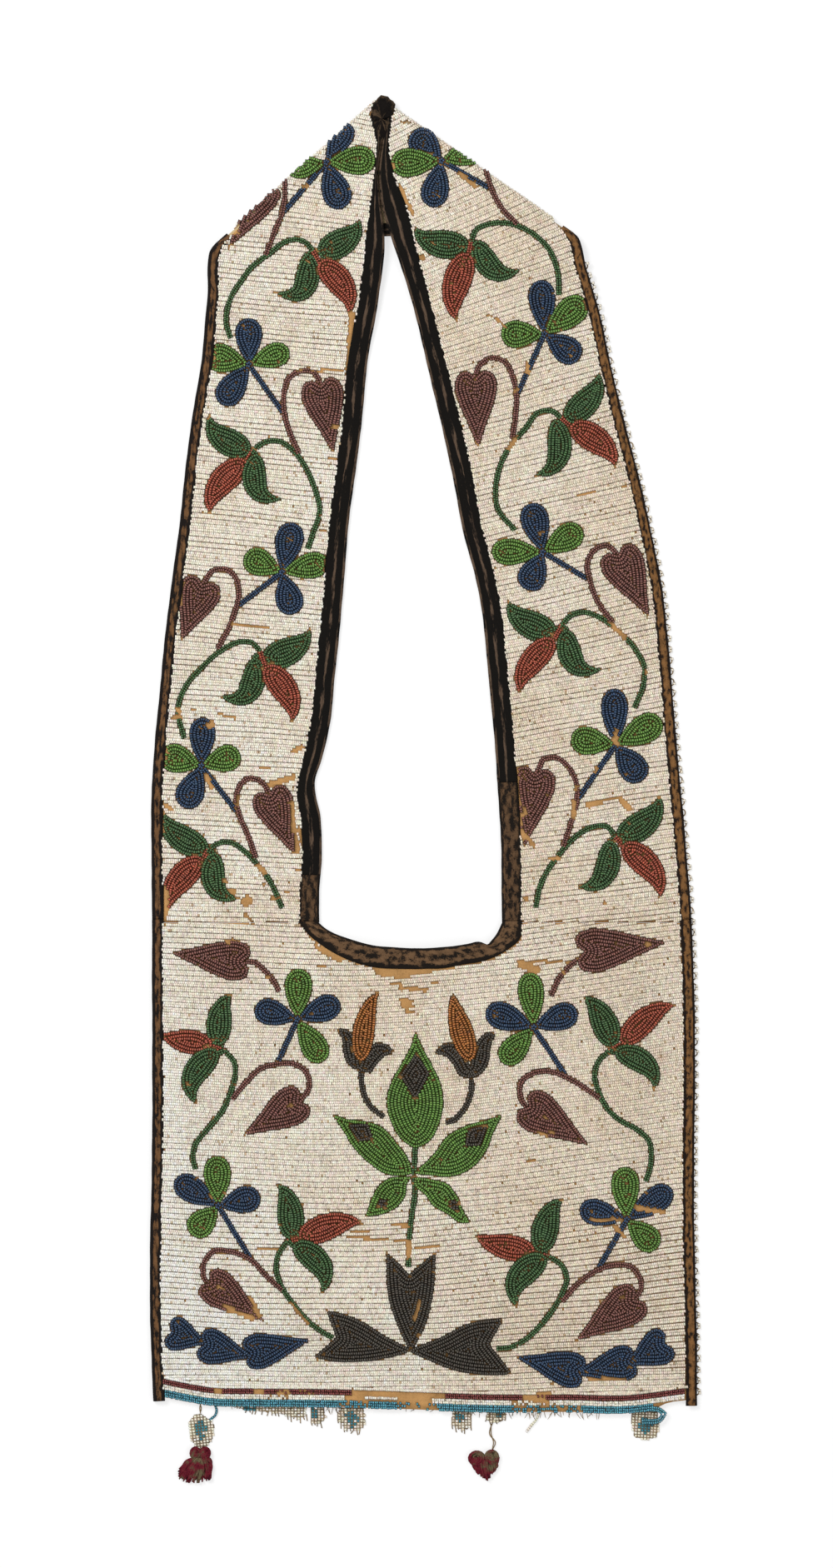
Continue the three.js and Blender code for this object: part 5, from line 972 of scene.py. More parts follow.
# Places where the beads are lost or slack: each from a point to a point, and how wide
WORN = [
    (-134, 116, -110, 113.5, 2.2), (-176, 50, -171, 52, 3), (-172, 55, -172, 56, 3.4),
    (-168, 55.5, -160, 55.5, 1.6), (-144, 53, -132, 50, 1.8), (-51, 330, -54, 290, 4.4),
    (-90, 292, -57, 292, 1.5), (-70, 230.5, -62, 230.5, 1.7), (-73, 181, -70, 181, 1.8),
    (-63, 252.5, -63, 253, 3), (-150, 45, -149, 46, 5), (-153, 10, -149, 2, 3.6),
    (-184, -8, -177, -13, 3), (-115, 15.5, -109, 15.5, 2.4), (-92, 27, -86, 30, 4),
    (-108, 4, -92, 9, 4.6), (-131, -5, -131, -10, 3.2), (-94, -8, -89, -43, 3.2),
    (-88, -27, -85, -38, 3.4), (-117, -52, -112, -57, 3.6), (-125, -77, -124.5, -77, 7.6),
    (-113, -65, -113, -65.5, 3), (-140, -63, -139, -63, 2.4), (-136, -70, -132, -70, 2),
    (-98, -70.5, -88, -70.5, 1.8), (-90, -55, -86, -55, 2), (-108, -75, -102, -75, 2),
    (-181.5, -68, -181.5, -92, 3.6), (-85, 420, -82, 420, 3), (24, 428, 35, 419, 3.2),
    (-17, 464, -11, 464, 1.8), (-18, 420, -9, 400, 3), (-3, 371, -2, 369, 3), (43, 330, 46, 330, 2),
    (49, 328, 56, 322, 2.2), (71, 290, 71, 297, 2.6), (62, 278, 63, 279, 3), (58, 238, 63, 246, 3),
    (106, 205, 140, 212, 1.6), (80, 179, 81, 180, 3), (129, 116, 138, 106, 3.2), (153, 82, 153, 83, 3),
    (132, 33, 132, 40, 4), (118, 13, 119, 15, 3), (104, 1, 105, 2, 3), (103, -8, 103, -19, 3.2),
    (68.5, -12, 68.5, -17, 3), (66, -28, 75, -38, 4), (136, -7, 142, -13, 4), (112, -10, 133, -6, 1.8),
    (87, -47, 93, -47, 3), (69, -75, 70, -75, 2.6), (124, -78, 125, -78, 2.6),
    (-76, -109, -60, -118, 3.4), (-33, -122, 2, -122, 4), (-33, -126, 2, -126, 4.4),
    (-30, -128.6, -12, -128.6, 3), (-18, -137, 0, -138.5, 3.2), (-17, -146, -10, -146, 3),
    (-16, -149, -9, -150, 3.6), (-13, -153.5, -9, -154, 3), (-24, -134, -18, -134, 2),
    (4, -133, 8, -133, 2), (-75, -122, -70, -122, 2), (-126, -86, -120, -92, 2.6),
    (-138, -105, -137, -105, 3), (-110, -130, -109, -130, 3), (-166, -204, -165, -204, 3),
    (-95, -219, -94, -219, 3), (-19, -199, -18.5, -199, 2.8), (-144, -345, -143, -345, 3),
    (-122, -352, -115, -365, 3.2), (-140, -358, -120, -367, 3.4), (-118, -318.5, -103, -318.5, 1.8),
    (-93, -356, -82, -370, 3), (-52, -306.5, -40, -306.5, 1.8), (-54, -310, -10, -313, 1.9),
    (-23, -302, -12, -302, 1.9), (-8, -318, 10, -316.5, 1.9), (-11.5, -313, -12, -324, 3),
    (-4, -354, -8, -368, 2.2), (-5, -377, -5, -378, 2.6), (67, -121, 77, -125, 6),
    (64, -119, 100, -119, 1.9), (154, -107, 155, -107, 2.6), (95, -126, 96, -127, 2.8),
    (78, -238, 88, -238, 2.4), (82, -227, 83, -227, 2.4), (70, -257, 76, -257, 2.2),
    (115, -298, 135, -298, 2.8), (147, -290, 165, -293, 4), (131, -302, 138, -310, 3),
    (135, -352, 136, -352, 3), (113, -409, 138, -409, 2.4), (87, -413, 88, -413, 2.4),
    (77, -418.5, 86, -419, 2.2),
]


def is_worn(p, spare=0.0):
    gone = np.zeros(len(p), bool)
    for x0, y0, x1, y1, wide in WORN:
        low = np.array([min(x0, x1), min(y0, y1)]) - wide
        high = np.array([max(x0, x1), max(y0, y1)]) + wide
        near = np.flatnonzero(((p >= low) & (p <= high)).all(1))
        if len(near):
            gone[near] |= far_from(p[near], [(x0, y0), (x1, y1)], closed=False) < wide / 2 - spare
    return gone


def winding(outline):
    """1 for an outline that runs anticlockwise, and -1 for one that runs clockwise."""
    after = np.roll(outline, -1, axis=0)
    return np.sign((outline[:, 0] * after[:, 1] - outline[:, 1] * after[:, 0]).sum())


def moved_in(outline, far):
    """The outline moved inwards, with an arc round each of its notches."""
    d = np.roll(outline, -1, axis=0) - outline
    turn = winding(outline)
    angle = np.arctan2(d[:, 0] * turn, -d[:, 1] * turn)
    points = []
    for i in range(len(outline)):
        swing = (angle[i] - angle[i - 1] + math.pi) % (2 * math.pi) - math.pi
        for t in np.linspace(0, 1, int(abs(swing) * far / 0.7) + 2)[:-1]:
            a = angle[i - 1] + t * swing
            points.append((outline[i, 0] + far * math.cos(a), outline[i, 1] + far * math.sin(a)))
    return np.array(points)


def contour_rows(outline, first=1.15):
    """Rows of beads inside an outline, one inside the other."""
    dense = spaced(np.vstack([outline, outline[:1]]), step=0.7)[:-1]
    rows, far = [], first
    while far < 20:
        line = moved_in(dense, far)
        keep = (far_from(line, dense) > far - 0.12) & inside(line, dense)
        if keep.sum() < 2:
            break
        breaks = np.flatnonzero(~keep)
        turn = breaks[0] if len(breaks) else 0
        line, keep = np.roll(line, -turn, axis=0), np.roll(keep, -turn)
        run = []
        for point, held in zip(line, keep):
            if held and (not run or math.dist(point, run[-1]) < 3.2):
                run.append(point)
            elif held:
                rows.append(run)
                run = [point]
        rows.append(run)
        far += FLORAL_ROW
    return [np.array(r) for r in rows if len(r) > 1]


def fill_gaps(outline, places, runs, apart=1.6):
    """Beads for the bare spots that the rows leave inside an outline, along the nearest row."""
    low, high = outline.min(0), outline.max(0)
    gx, gy = np.meshgrid(np.arange(low[0], high[0], 0.55), np.arange(low[1], high[1], 0.55))
    spots = np.column_stack([gx.ravel(), gy.ravel()])
    spots = spots[inside(spots, outline)]
    spots = spots[far_from(spots, outline) > 0.9]
    if not len(spots) or not len(places):
        return places, runs
    away = np.concatenate([
        np.sqrt(((part[:, None] - places[None]) ** 2).sum(2)).min(1)
        for part in np.array_split(spots, 1 + len(spots) // 800)
    ])
    new = []
    for spot in spots[away > apart]:
        if all(math.dist(spot, other) > apart for other in new):
            new.append(spot)
    if not new:
        return places, runs
    new = np.array(new)
    nearest = ((new[:, None] - places[None]) ** 2).sum(2).argmin(1)
    return np.vstack([places, new]), np.vstack([runs, runs[nearest]])


def beads_on(rows, pitch=BEAD_PITCH, apart=0.8):
    """Places and directions of beads strung along rows, none of them on another."""
    places, runs = [], []
    for row in rows:
        length = np.hypot(*np.diff(row, axis=0).T).sum()
        if length < 0.6 * pitch:
            continue
        line = spaced(row, count=max(2, int(round(length / pitch)) + 1))
        places.append(line)
        runs.append(np.gradient(line, axis=0))
    if not places:
        return np.zeros((0, 2)), np.zeros((0, 2))
    places, runs = np.vstack(places), np.vstack(runs)
    kept, cells = [], {}
    for i, (x, y) in enumerate(places):
        cx, cy = int(x // 1.4), int(y // 1.4)
        around = [j for a in (-1, 0, 1) for b in (-1, 0, 1) for j in cells.get((cx + a, cy + b), ())]
        if all((places[j][0] - x) ** 2 + (places[j][1] - y) ** 2 > (apart * pitch) ** 2 for j in around):
            kept.append(i)
            cells.setdefault((cx, cy), []).append(i)
    return places[kept], runs[kept]


def dyed(colours, spread=0.10):
    """Each bead's own shade of its dye."""
    n = len(colours)
    shade = rng.normal(1, spread, (n, 1)) * rng.normal(1, 0.03, (n, 3))
    return (np.asarray(colours) * shade).clip(0.002, 0.95)


def on_leg(p, side, outer_in, inner_in, seam_in, turned):
    """Which points lie on a leg's beaded band, so far in from its edges and so far round its fold."""
    outer_x, inner_x = (across_at(EDGES[kind, side], p[:, 1]) for kind in ("outer", "bead"))
    kept = (SIGN[side] * (p[:, 0] - outer_x) > outer_in) & (SIGN[side] * (inner_x - p[:, 0]) > inner_in)
    return kept & (p[:, 1] > SEAM_Y + seam_in) & (drop_at(p, side) < turned)


def on_pouch(p, left_in, right_in, mouth_in, foot_in):
    """Which points lie on the beaded front of the pouch."""
    left_x, right_x = (across_at(EDGES["outer", side], p[:, 1]) for side in ("left", "right"))
    kept = (p[:, 0] > left_x + left_in) & (p[:, 0] < right_x - right_in)
    kept &= p[:, 1] < along_at(top_of_pouch(MOUTH_FOOT, mouth_in), p[:, 0])
    return kept & (p[:, 1] > along_at(FOOT, p[:, 0]) + foot_in)


STEM_HALF_PITCH = 0.88
FLORAL_OUTLINES = {"left": [], "right": [], "pouch": []}
for name, (side, shapes) in FLORAL.items():
    places, runs, colours, sizes = [], [], [], []
    for order, (outline, line, dye) in enumerate(shapes):
        FLORAL_OUTLINES[side].append(outline)
        if line is None:
            p, d = fill_gaps(outline, *beads_on(contour_rows(outline), FLORAL_PITCH))
        else:
            rows = [beside(line, far) for far in (-STEM_HALF_PITCH, STEM_HALF_PITCH)]
            p, d = beads_on(rows, FLORAL_PITCH)
        for above, _, _ in shapes[order + 1 :]:
            hidden = inside(p, grown(above, 0.3))
            p, d = p[~hidden], d[~hidden]
        places.append(p)
        runs.append(d)
        colours.append(np.tile(DYES[dye], (len(p), 1)))
        sizes.append(np.tile(FLORAL_BEAD if line is None else STEM_BEAD, (len(p), 1)))
    p, d, c, size = (np.vstack(rows) for rows in (places, runs, colours, sizes))
    if side == "pouch":
        on_ground = (p[:, 1] < POUCH_TOP_Y - 1.2) & on_pouch(p, 9, 9, 0.9, 0)
    else:
        on_ground = on_leg(p, side, 8.8, 0.8, 0.8, 4.2)
    kept = on_ground & ~is_worn(p) & (rng.random(len(p)) > 0.003)
    p, d, c, size = p[kept], d[kept], c[kept], size[kept]
    p = p + rng.normal(0, 0.07, p.shape)
    piece = strung(f"{name}_beads", placed(p, FLORAL_LEVEL, side), d, dyed(c, 0.13), dyed_glass, size)
    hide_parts(name)

# White ground: rows of white beads from edge to edge. On the legs they run square across; on the
# pouch they rise to the right and sag at the left. They stop at each floral outline.
LEG_SLOPE = {
    "left": ([-92, 0, 120, 240, 330, 400, 480], [-0.03, -0.05, -0.10, -0.11, -0.08, -0.12, -0.2]),
    "right": ([-92, 0, 120, 240, 330, 400, 480], [0.12, 0.16, 0.22, 0.25, 0.30, 0.42, 0.5]),
}
CENTRE_X = {"left": -115, "right": 80}
GROUND_BEAD = (BEAD_ALONG, 2.06, 1.6)
FIRM_WHITE, TANNED_WHITE = np.array([0.98, 0.93, 0.84]), np.array([0.73, 0.59, 0.42])


def ground_rows_leg(side):
    places, runs = [], []
    r = -140.0
    while r < 560:
        slope = np.interp(r, *LEG_SLOPE[side])
        shift = rng.uniform(0, BEAD_PITCH)
        x = np.arange(-200 + shift, 200, BEAD_PITCH * math.cos(math.atan(slope)))
        x = x[x < 0] if side == "left" else x[x > -60]
        sway = 0.35 * np.sin(x * 0.06 + r * 0.05) + 0.25 * math.sin(r * 1.9)
        y = r + slope * (x - CENTRE_X[side]) + sway
        places.append(np.column_stack([x, y]))
        runs.append(np.tile((1, slope), (len(x), 1)))
        r += ROW_PITCH / math.cos(math.atan(slope)) * 0.96
    p, d = np.vstack(places), np.vstack(runs)
    kept = on_leg(p, side, 7.6, -0.5, 0.7, 4.3)
    return p[kept], d[kept]


def ground_rows_pouch():
    xs = np.linspace(-200, 200, 401)
    slope = np.interp(xs, [-190, -90, -30, 40, 190], [-0.06, -0.03, 0.04, 0.12, 0.15])
    rise = np.cumsum(slope)
    rise -= rise[200]
    places, runs = [], []
    for r in np.arange(-460, -60, ROW_PITCH):
        x = np.arange(-200 + rng.uniform(0, BEAD_PITCH), 200, BEAD_PITCH)
        sway = 0.4 * np.sin(x * 0.05 + r * 0.04) + 0.2 * math.sin(r * 1.7)
        # Near the foot the rows come round to lie along it
        share = np.clip((r + 440) / 120, 0.25, 1)
        y = r + share * np.interp(x, xs, rise) + sway
        places.append(np.column_stack([x, y]))
        runs.append(np.column_stack([np.ones(len(x)), share * np.interp(x, xs, slope)]))
    p, d = np.vstack(places), np.vstack(runs)
    kept = on_pouch(p, 7.6, 8.3, 1.0, 1.4)
    last = spaced(FOOT + (0, 0.8), step=BEAD_PITCH)
    last = last[np.abs(last[:, 0]) < 182]
    return np.vstack([p[kept], last]), np.vstack([d[kept], np.gradient(last, axis=0)])


def ground_dye(p):
    """Whiter on the strap and at the left of the pouch, more so towards its foot, and tanner at its right,
    with broad patches of painted light and shade for the soft swells of the cloth.
    """
    pouch = np.interp(p[:, 0], [-185, -140, -60, 0, 60, 170], [1, 0.72, 0.55, 0.5, 0.42, 0.42])
    pouch = pouch - (p[:, 1] + 200) / 900 * (p[:, 0] < 0)
    strap = np.where(p[:, 0] > -10, 0.45, 0.68)
    white = np.where(p[:, 1] > -60, strap, pouch)[:, None]
    # Painted light and shade: broad lighter and darker patches that stand in for the soft swells of the
    # cloth
    painted_swell_light = 0.5 + 0.5 * np.sin(p[:, 0] * 0.045 + 2 * np.sin(p[:, 1] * 0.02)) * np.sin(p[:, 1] * 0.037)
    share = np.clip(white * 0.8 + 0.2 * painted_swell_light[:, None], 0, 1)
    base = FIRM_WHITE * share + TANNED_WHITE * (1 - share)
    stray = rng.random(len(p)) < 0.012
    base[stray] = base[stray] * (0.62, 0.52, 0.4)
    return dyed(base, 0.09)


BEADS_PER_PIECE = 13500
for side in ("left", "right", "pouch"):
    p, d = ground_rows_pouch() if side == "pouch" else ground_rows_leg(side)
    free = ~is_worn(p) & (rng.random(len(p)) > 0.002)
    for outline in FLORAL_OUTLINES[side]:
        free &= ~inside(p, grown(outline, 0.15))
    p, d = p[free], d[free]
    p = p + rng.normal(0, 0.05, p.shape)
    bands = np.array_split(np.argsort(p[:, 1]), int(np.ceil(len(p) / BEADS_PER_PIECE)))
    for k, band in enumerate(bands):
        q = p[band]
        name = f"{side}_ground_beads_{k + 1}" if side == "pouch" else f"{side}_leg_ground_beads_{k + 1}"
        lying = placed(q, GROUND_LEVEL, side)
        piece = strung(name, lying, d[band], ground_dye(q), white_glass, GROUND_BEAD)
        if name == "left_leg_ground_beads_1":
            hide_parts("strap_beadwork")
        if name == "pouch_ground_beads_1":
            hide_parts("pouch_beadwork")

# The crossing behind lies beads down
x, y = np.meshgrid(np.arange(-146, 103, BEAD_PITCH), np.arange(384, 480, ROW_PITCH))
p = np.column_stack([x.ravel(), y.ravel()])
kept = (drop_at(p, "left") < 3.9) & (drop_at(p, "right") < 3.9)
kept &= p[:, 1] > 382 + (p[:, 0] + 146) * 7 / 249 + 9.8
p = p[kept]
piece = strung(
    "crossing_beads", placed(p, GROUND_LEVEL, "under"), np.tile((1.0, 0.0), (len(p), 1)), ground_dye(p),
    white_glass,
)

# Ribbon bindings: velvet and braid ribbon, folded over each raw edge and sewn down. Worn bald in
# places, so that its brown ground shows. The cut ends are tucked under.


def ribbon_finish(name, dark, light, worn, grain, bald):
    """Worn ribbon: its pile colour, its bald ground, how much of it is bald, and where across it. Its
    UVs run across it from its folded edge to its sewn side, and along it in metres."""
    material, nodes, links, shader = new_material(name, 0.92)
    uv = nodes.new("ShaderNodeUVMap")
    uv.uv_map = "along"
    split = nodes.new("ShaderNodeSeparateXYZ")
    links.new(uv.outputs["UV"], split.inputs["Vector"])
    streak = noise_at(nodes, links, 1.0, 5, uv.outputs["UV"], (*grain, 1))
    fine = noise_at(nodes, links, 1.0, 3, uv.outputs["UV"], (grain[0] * 5, grain[1] * 7, 1))
    both = maths(nodes, links, "MULTIPLY_ADD", fine, 0.35, streak)
    middle = ramped(nodes, links, split.outputs["X"], [(place, (much,) * 3) for place, much in bald])
    held = maths(nodes, links, "MULTIPLY_ADD", middle, 0.30, both)
    at = 0.975 + 0.4 * (0.5 - worn)
    # Halved, so that all of it lies within the ramp
    half = maths(nodes, links, "MULTIPLY", held, 0.5)
    brighter = tuple(min(1, 1.4 * k) for k in light)
    stops = [((at - 0.06) / 2, dark), ((at + 0.05) / 2, light), ((at + 0.2) / 2, brighter)]
    links.new(ramped(nodes, links, half, stops), shader.inputs["Base Color"])
    # Ribs across the ribbon
    rib = nodes.new("ShaderNodeTexWave")
    rib.bands_direction = "Y"
    rib.inputs["Scale"].default_value = 2 * math.pi / 20 / 0.0009
    rib.inputs["Distortion"].default_value = 1.5
    links.new(uv.outputs["UV"], rib.inputs["Vector"])
    rough = maths(nodes, links, "MULTIPLY_ADD", rib.outputs["Fac"], 0.25, both)
    bumped(nodes, links, shader, rough, 0.0006, 0.7)
    return material


def binding(name, edge, sewn, side, low, high, thick=0.8, step=2.0, crumple=0.35, back=0.85, seed=0.0):
    """Ribbon folded over an edge: lines of points along the folded edge and the sewn side."""
    count = max(12, int(np.hypot(*np.diff(edge, axis=0).T).sum() / step))
    edge, sewn = spaced(edge, count), spaced(sewn, count)
    run = np.arange(count) * step
    wave = np.sin(run * 0.11 + seed) * 0.6 + np.sin(run * 0.37 + 2 * seed) * 0.4
    wave = np.convolve(wave + rng.normal(0, 0.25, count), np.ones(3) / 3, mode="same")
    pucker = np.convolve(rng.normal(0, 1, count), np.ones(2) / 2, mode="same")
    mid, nose = (low + high) / 2, (high - low) / 2
    # The section, round the ribbon: its share of the way across, how far in, and its level
    front = [
        (1.0, 0, high - 0.35), (0.94, 0, high - 0.05), (0.75, 0, high + 0.05), (0.5, 0, high + 0.1),
        (0.3, 0, high + 0.05), (0.14, 0.4, high - 0.05),
    ]
    turns = (1.2, 0.75, 0.3, -0.3, -0.75, -1.2)
    fold = [(0, nose * (1 - math.cos(a)), mid + nose * math.sin(a)) for a in turns]
    behind = [(0.2, 0.4, low), (0.5, 0, low), (back, 0, low)]
    lining = [
        (back, 0, low + thick), (0.5, 0, low + thick), (0.2, 0.4, low + thick), (0, nose * 0.8, mid),
        (0.2, 0.4, high - thick), (0.5, 0, high - thick), (0.97, 0, high - thick - 0.1),
    ]
    section = front + fold + behind + lining
    across = sewn - edge
    wide = np.maximum(np.hypot(*across.T), 1e-6)[:, None]
    points, uv = [], []
    for k, (share, inward, z) in enumerate(section):
        p = edge + across * share + across / wide * np.minimum(inward, wide * 0.4)
        top = k < len(front)
        if top or k == len(section) - 1:
            p = p + across / wide * (0.25 * wave * (1 if share > 0.9 else 0.3))[:, None]
        level = np.full(count, float(z))
        if top and 0.2 < share < 0.95:
            level += crumple * (0.6 * wave + 0.55 * pucker * math.sin(share * 7 + seed)) * 0.5
        if len(front) <= k < len(front + fold):
            p = p - across / wide * (0.18 * wave)[:, None]
        points.append(placed(p, level, side))
        uv.append(np.column_stack([np.full(count, share), run * MM]))
    points = np.stack(points, axis=1).reshape(-1, 3)
    uv = np.stack(uv, axis=1).reshape(-1, 2)
    columns = len(section)
    faces = grid_faces(count, columns, ring=True)
    faces.append(tuple(range(columns))[::-1])
    faces.append(tuple((count - 1) * columns + i for i in range(columns)))
    return outward(new_piece(name, points, faces, uv))


def part_of(line, low_y, high_y):
    line = spaced(line, step=1.5)
    return line[(line[:, 1] <= high_y) & (line[:, 1] >= low_y)]


def run_on(line, far=1.3):
    """The line made longer at both ends."""
    first, last = line[0] - line[1], line[-1] - line[-2]
    before = line[0] + first / np.hypot(*first) * far
    after = line[-1] + last / np.hypot(*last) * far
    return np.vstack([before, line, after])


BINDING_LOW, BINDING_HIGH = 0.05, 3.5
left_braid = ribbon_finish(
    "black braid worn to brown", (0.012, 0.009, 0.008), (0.130, 0.065, 0.028), 0.60, (3.2, 120),
    [(0, 0), (0.2, 0.2), (0.34, 1), (0.66, 1), (0.78, 0.3), (1, 0)],
)
right_braid = ribbon_finish(
    "brown braid with black wear", (0.014, 0.009, 0.007), (0.165, 0.080, 0.029), 0.64, (3.2, 200),
    [(0, 0), (0.1, 0.2), (0.2, 1), (0.7, 1), (0.84, 0.3), (1, 0)],
)
black_velvet = ribbon_finish(
    "black velvet with bald streaks", (0.007, 0.006, 0.005), (0.092, 0.060, 0.040), 0.55, (7, 55),
    [(0, 1), (0.07, 0.9), (0.12, 0.05), (0.36, 0), (0.46, 0.85), (0.56, 0.9), (0.66, 0.1), (1, 0)],
)
brown_velvet = ribbon_finish(
    "brown bald velvet", (0.012, 0.009, 0.007), (0.092, 0.052, 0.027), 0.60, (4, 130),
    [(0, 0.4), (0.1, 0.9), (0.8, 0.9), (1, 0.1)],
)

for side, finish, slot in (("left", left_braid, "black_velvet"), ("right", right_braid, "tan_ribbon")):
    outer = EDGES["outer", side]
    sewn = beside(outer, SIGN[side] * 8.2)
    high_part = outer[:, 1] >= SEAM_Y - 0.5
    leg = binding(
        f"{side}_outer_binding_leg", outer[high_part], sewn[high_part], side, BINDING_LOW, BINDING_HIGH,
        seed=SIGN[side],
    )
    low_part = ~high_part
    low_part[np.flatnonzero(low_part)[0] - 1] = True
    pouch = binding(
        f"{side}_outer_binding_pouch", outer[low_part], sewn[low_part], "flat", BINDING_LOW, 4.95,
        seed=2 + SIGN[side],
    )
    dressed(leg, finish)
    dressed(pouch, finish)
    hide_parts(f"{side}_outer_binding")

for side, finish, name, top, foot in (
    ("left", black_velvet, "left_inner_binding", 468, -60),
    ("left", brown_velvet, "left_inner_binding_foot", -58, -92),
    ("right", black_velvet, "right_inner_binding_upper", 468, 4),
    ("right", brown_velvet, "right_inner_binding_lower", 5.5, -92),
):
    # The brown lengths lap over the black ones
    over = 0.25 if finish is brown_velvet else 0
    piece = binding(
        name + "_ribbon", part_of(EDGES["inner", side], foot, top), part_of(EDGES["bead", side], foot, top),
        side, BINDING_LOW, BINDING_HIGH + over, crumple=0.5, seed=len(name),
    )
    slot = "brown_velvet" if "lower" in name else "black_velvet"
    dressed(piece, finish, None if "foot" in name else name)

# Binding of the crossing's lower edge, behind
low_edge, low_sewn = [(-137.5, 382.2), (93, 388.7)], [(-127.5, 391.5), (80.5, 397.3)]
crossing_ribbon = binding(
    "crossing_binding_ribbon", spaced(low_edge, 120), spaced(low_sewn, 120), "flat", 0.9, 4.2, crumple=0.15
)
dressed(crossing_ribbon, black_velvet, "crossing_binding")

# Mouth of the pouch: a wide brown ribbon folded over its raw edge, with flattened creases
mouth_velvet = ribbon_finish(
    "brown velvet of the mouth", (0.012, 0.009, 0.007), (0.120, 0.068, 0.035), 0.58, (3.2, 170),
    [(0, 0.3), (0.12, 1), (0.72, 1), (0.9, 0.3), (1, 0)],
)
mouth_ribbon = binding(
    "mouth_binding_ribbon", run_on(MOUTH_TOP), run_on(MOUTH_FOOT), "pouch", 0.2, 3.5, crumple=0.9, seed=3.3
)
dressed(mouth_ribbon, mouth_velvet, "mouth_binding")

# Knob at the apex: the end of the ribbon gathered and stitched over the two folds
bpy.ops.mesh.primitive_uv_sphere_add(segments=32, ring_count=20, radius=1, location=(0, 0, 0))
knob = bpy.context.object
knob.name = "apex_knob"
KNOB_X, KNOB_Y, KNOB_Z = -30.5, 466, 5.2
KNOB_OUTLINE = spaced([
    (-39.5, 470), (-38, 476), (-34, 481), (-29, 483.4), (-25, 482), (-21, 476), (-22, 468), (-24.5, 460),
    (-26, 452), (-30, 448), (-34.5, 452), (-36.5, 460), (-39.5, 470),
], 33)[:-1]
knob_angles = np.arctan2(KNOB_OUTLINE[:, 1] - KNOB_Y, KNOB_OUTLINE[:, 0] - KNOB_X) % (2 * math.pi)
order = np.argsort(knob_angles)
for corner in knob.data.vertices:
    x, y, z = corner.co
    turn = math.atan2(y, x) % (2 * math.pi)
    reach = np.interp(turn, knob_angles[order], np.arange(len(order)), period=2 * math.pi)
    edge = KNOB_OUTLINE[order[int(round(reach)) % len(order)]]
    gather = math.hypot(x, y) * (1 + 0.05 * math.sin(9 * turn))
    corner.co = (
        (KNOB_X + (edge[0] - KNOB_X) * gather) * MM,
        (KNOB_Y + (edge[1] - KNOB_Y) * gather) * MM,
        (KNOB_Z + 5.1 * z * (1 + 0.06 * math.sin(7 * turn))) * MM,
    )
knob.data.shade_smooth()
knob.data.uv_layers.active.name = "along"
knob_finish = ribbon_finish(
    "gathered black velvet", (0.008, 0.006, 0.005), (0.085, 0.055, 0.032), 0.45, (16, 3),
    [(0, 0.9), (1, 0.9)],
)
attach(knob, "root")
dressed(knob, knob_finish, "apex_binding")

# Foot of the pouch: two rows of dark red beads, then white ones, and three turquoise rows at the very
# foot, all broken where beads are lost.
FOOT_ROW_PITCH, FOOT_BEAD_PITCH = 1.75, 1.45
RED_LOST = [(-147, -142, 1), (-120, -113, 1), (-104, -94, 0.9), (68, 83, 0.9), (-88, -71, 0.3)]
WHITE_LOST = [(-110, -92, 0.5), (60, 90, 0.5)]
TURQUOISE_LOST = [(-60, -40, 0.35), (60, 110, 0.55), (-20, 10, 0.8)]
# Each length of rows: its solid, its dye, how far below the ground it starts, how many rows it has,
# from where to where it runs, and where what share of its beads is lost
FOOT_ROWS = (
    ("red_rows_left", "dark red", 1.2, 2, -182.5, -52, RED_LOST),
    ("red_rows_right", "dark red", 1.2, 2, 14, 180, RED_LOST),
    ("white_rows_left", "white", 5.0, 2, -182.5, -57, WHITE_LOST),
    ("white_rows_middle", "white", 5.2, 1, -42, -20, ()),
    ("white_rows_right", "white", 5.0, 2, 5, 180, WHITE_LOST),
    ("turquoise_rows", "turquoise", 8.3, 3, -181, 158, TURQUOISE_LOST),
)
for node, dye, first, count, x0, x1, lost in FOOT_ROWS:
    places, runs = [], []
    for k in range(count):
        line = spaced(FOOT + (0, -(first + k * FOOT_ROW_PITCH)), step=0.5)
        p = spaced(line[(line[:, 0] >= x0) & (line[:, 0] <= x1)], step=FOOT_BEAD_PITCH)
        keep = np.ones(len(p), bool)
        for a, b, share in lost:
            keep &= ~((p[:, 0] > a) & (p[:, 0] < b) & (rng.random(len(p)) < share))
        places.append(p[keep])
        runs.append(np.gradient(p, axis=0)[keep])
    p, d = np.vstack(places), np.vstack(runs)
    p = p + rng.normal(0, 0.1, p.shape)
    finish = white_glass if dye == "white" else dyed_glass
    colours = dyed(np.tile(DYES[dye], (len(p), 1)), 0.14)
    piece = strung(f"{node}_beads", placed(p, GROUND_LEVEL, "pouch"), d, colours, finish)
    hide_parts(node)

curl = smooth_line([(156, -430.2), (162, -430.6), (166, -433.5), (163, -437.5), (151, -439)], 1.0)
p, d = beads_on([beside(curl, far) for far in (-0.9, 0.9)], FOOT_BEAD_PITCH)
colours = dyed(np.tile(DYES["turquoise"], (len(p), 1)), 0.14)
curl_piece = strung("turquoise_curl_beads", placed(p, 3.0, "pouch"), d, colours, dyed_glass)

# Threads: brown sewing thread that strung the beads, loose where they are lost. Each is a fine tube.
# One holds the left tab, with a loop of beads beside it, and one holds the right tassel.
THREAD_COLOUR = (0.235, 0.165, 0.090)


def yarn_finish(name, colours, twist=900.0):
    """Twisted yarn or thread, in tones that run from its darkest colour to its lightest."""
    material, nodes, links, shader = new_material(name, 0.95)
    where = nodes.new("ShaderNodeTexCoord").outputs["Object"]
    tone = noise_at(nodes, links, 140, 4, where)
    fibre = noise_at(nodes, links, twist * 2, 2, where)
    both = maths(nodes, links, "MULTIPLY_ADD", fibre, 0.35, tone)
    stops = list(zip(np.linspace(0.5, 0.85, len(colours)), colours))
    links.new(ramped(nodes, links, both, stops), shader.inputs["Base Color"])
    bumped(nodes, links, shader, fibre, 0.0003)
    return material


thread_finish = yarn_finish("brown thread", [tuple(c * k for c in THREAD_COLOUR) for k in (0.5, 1, 1.5)])


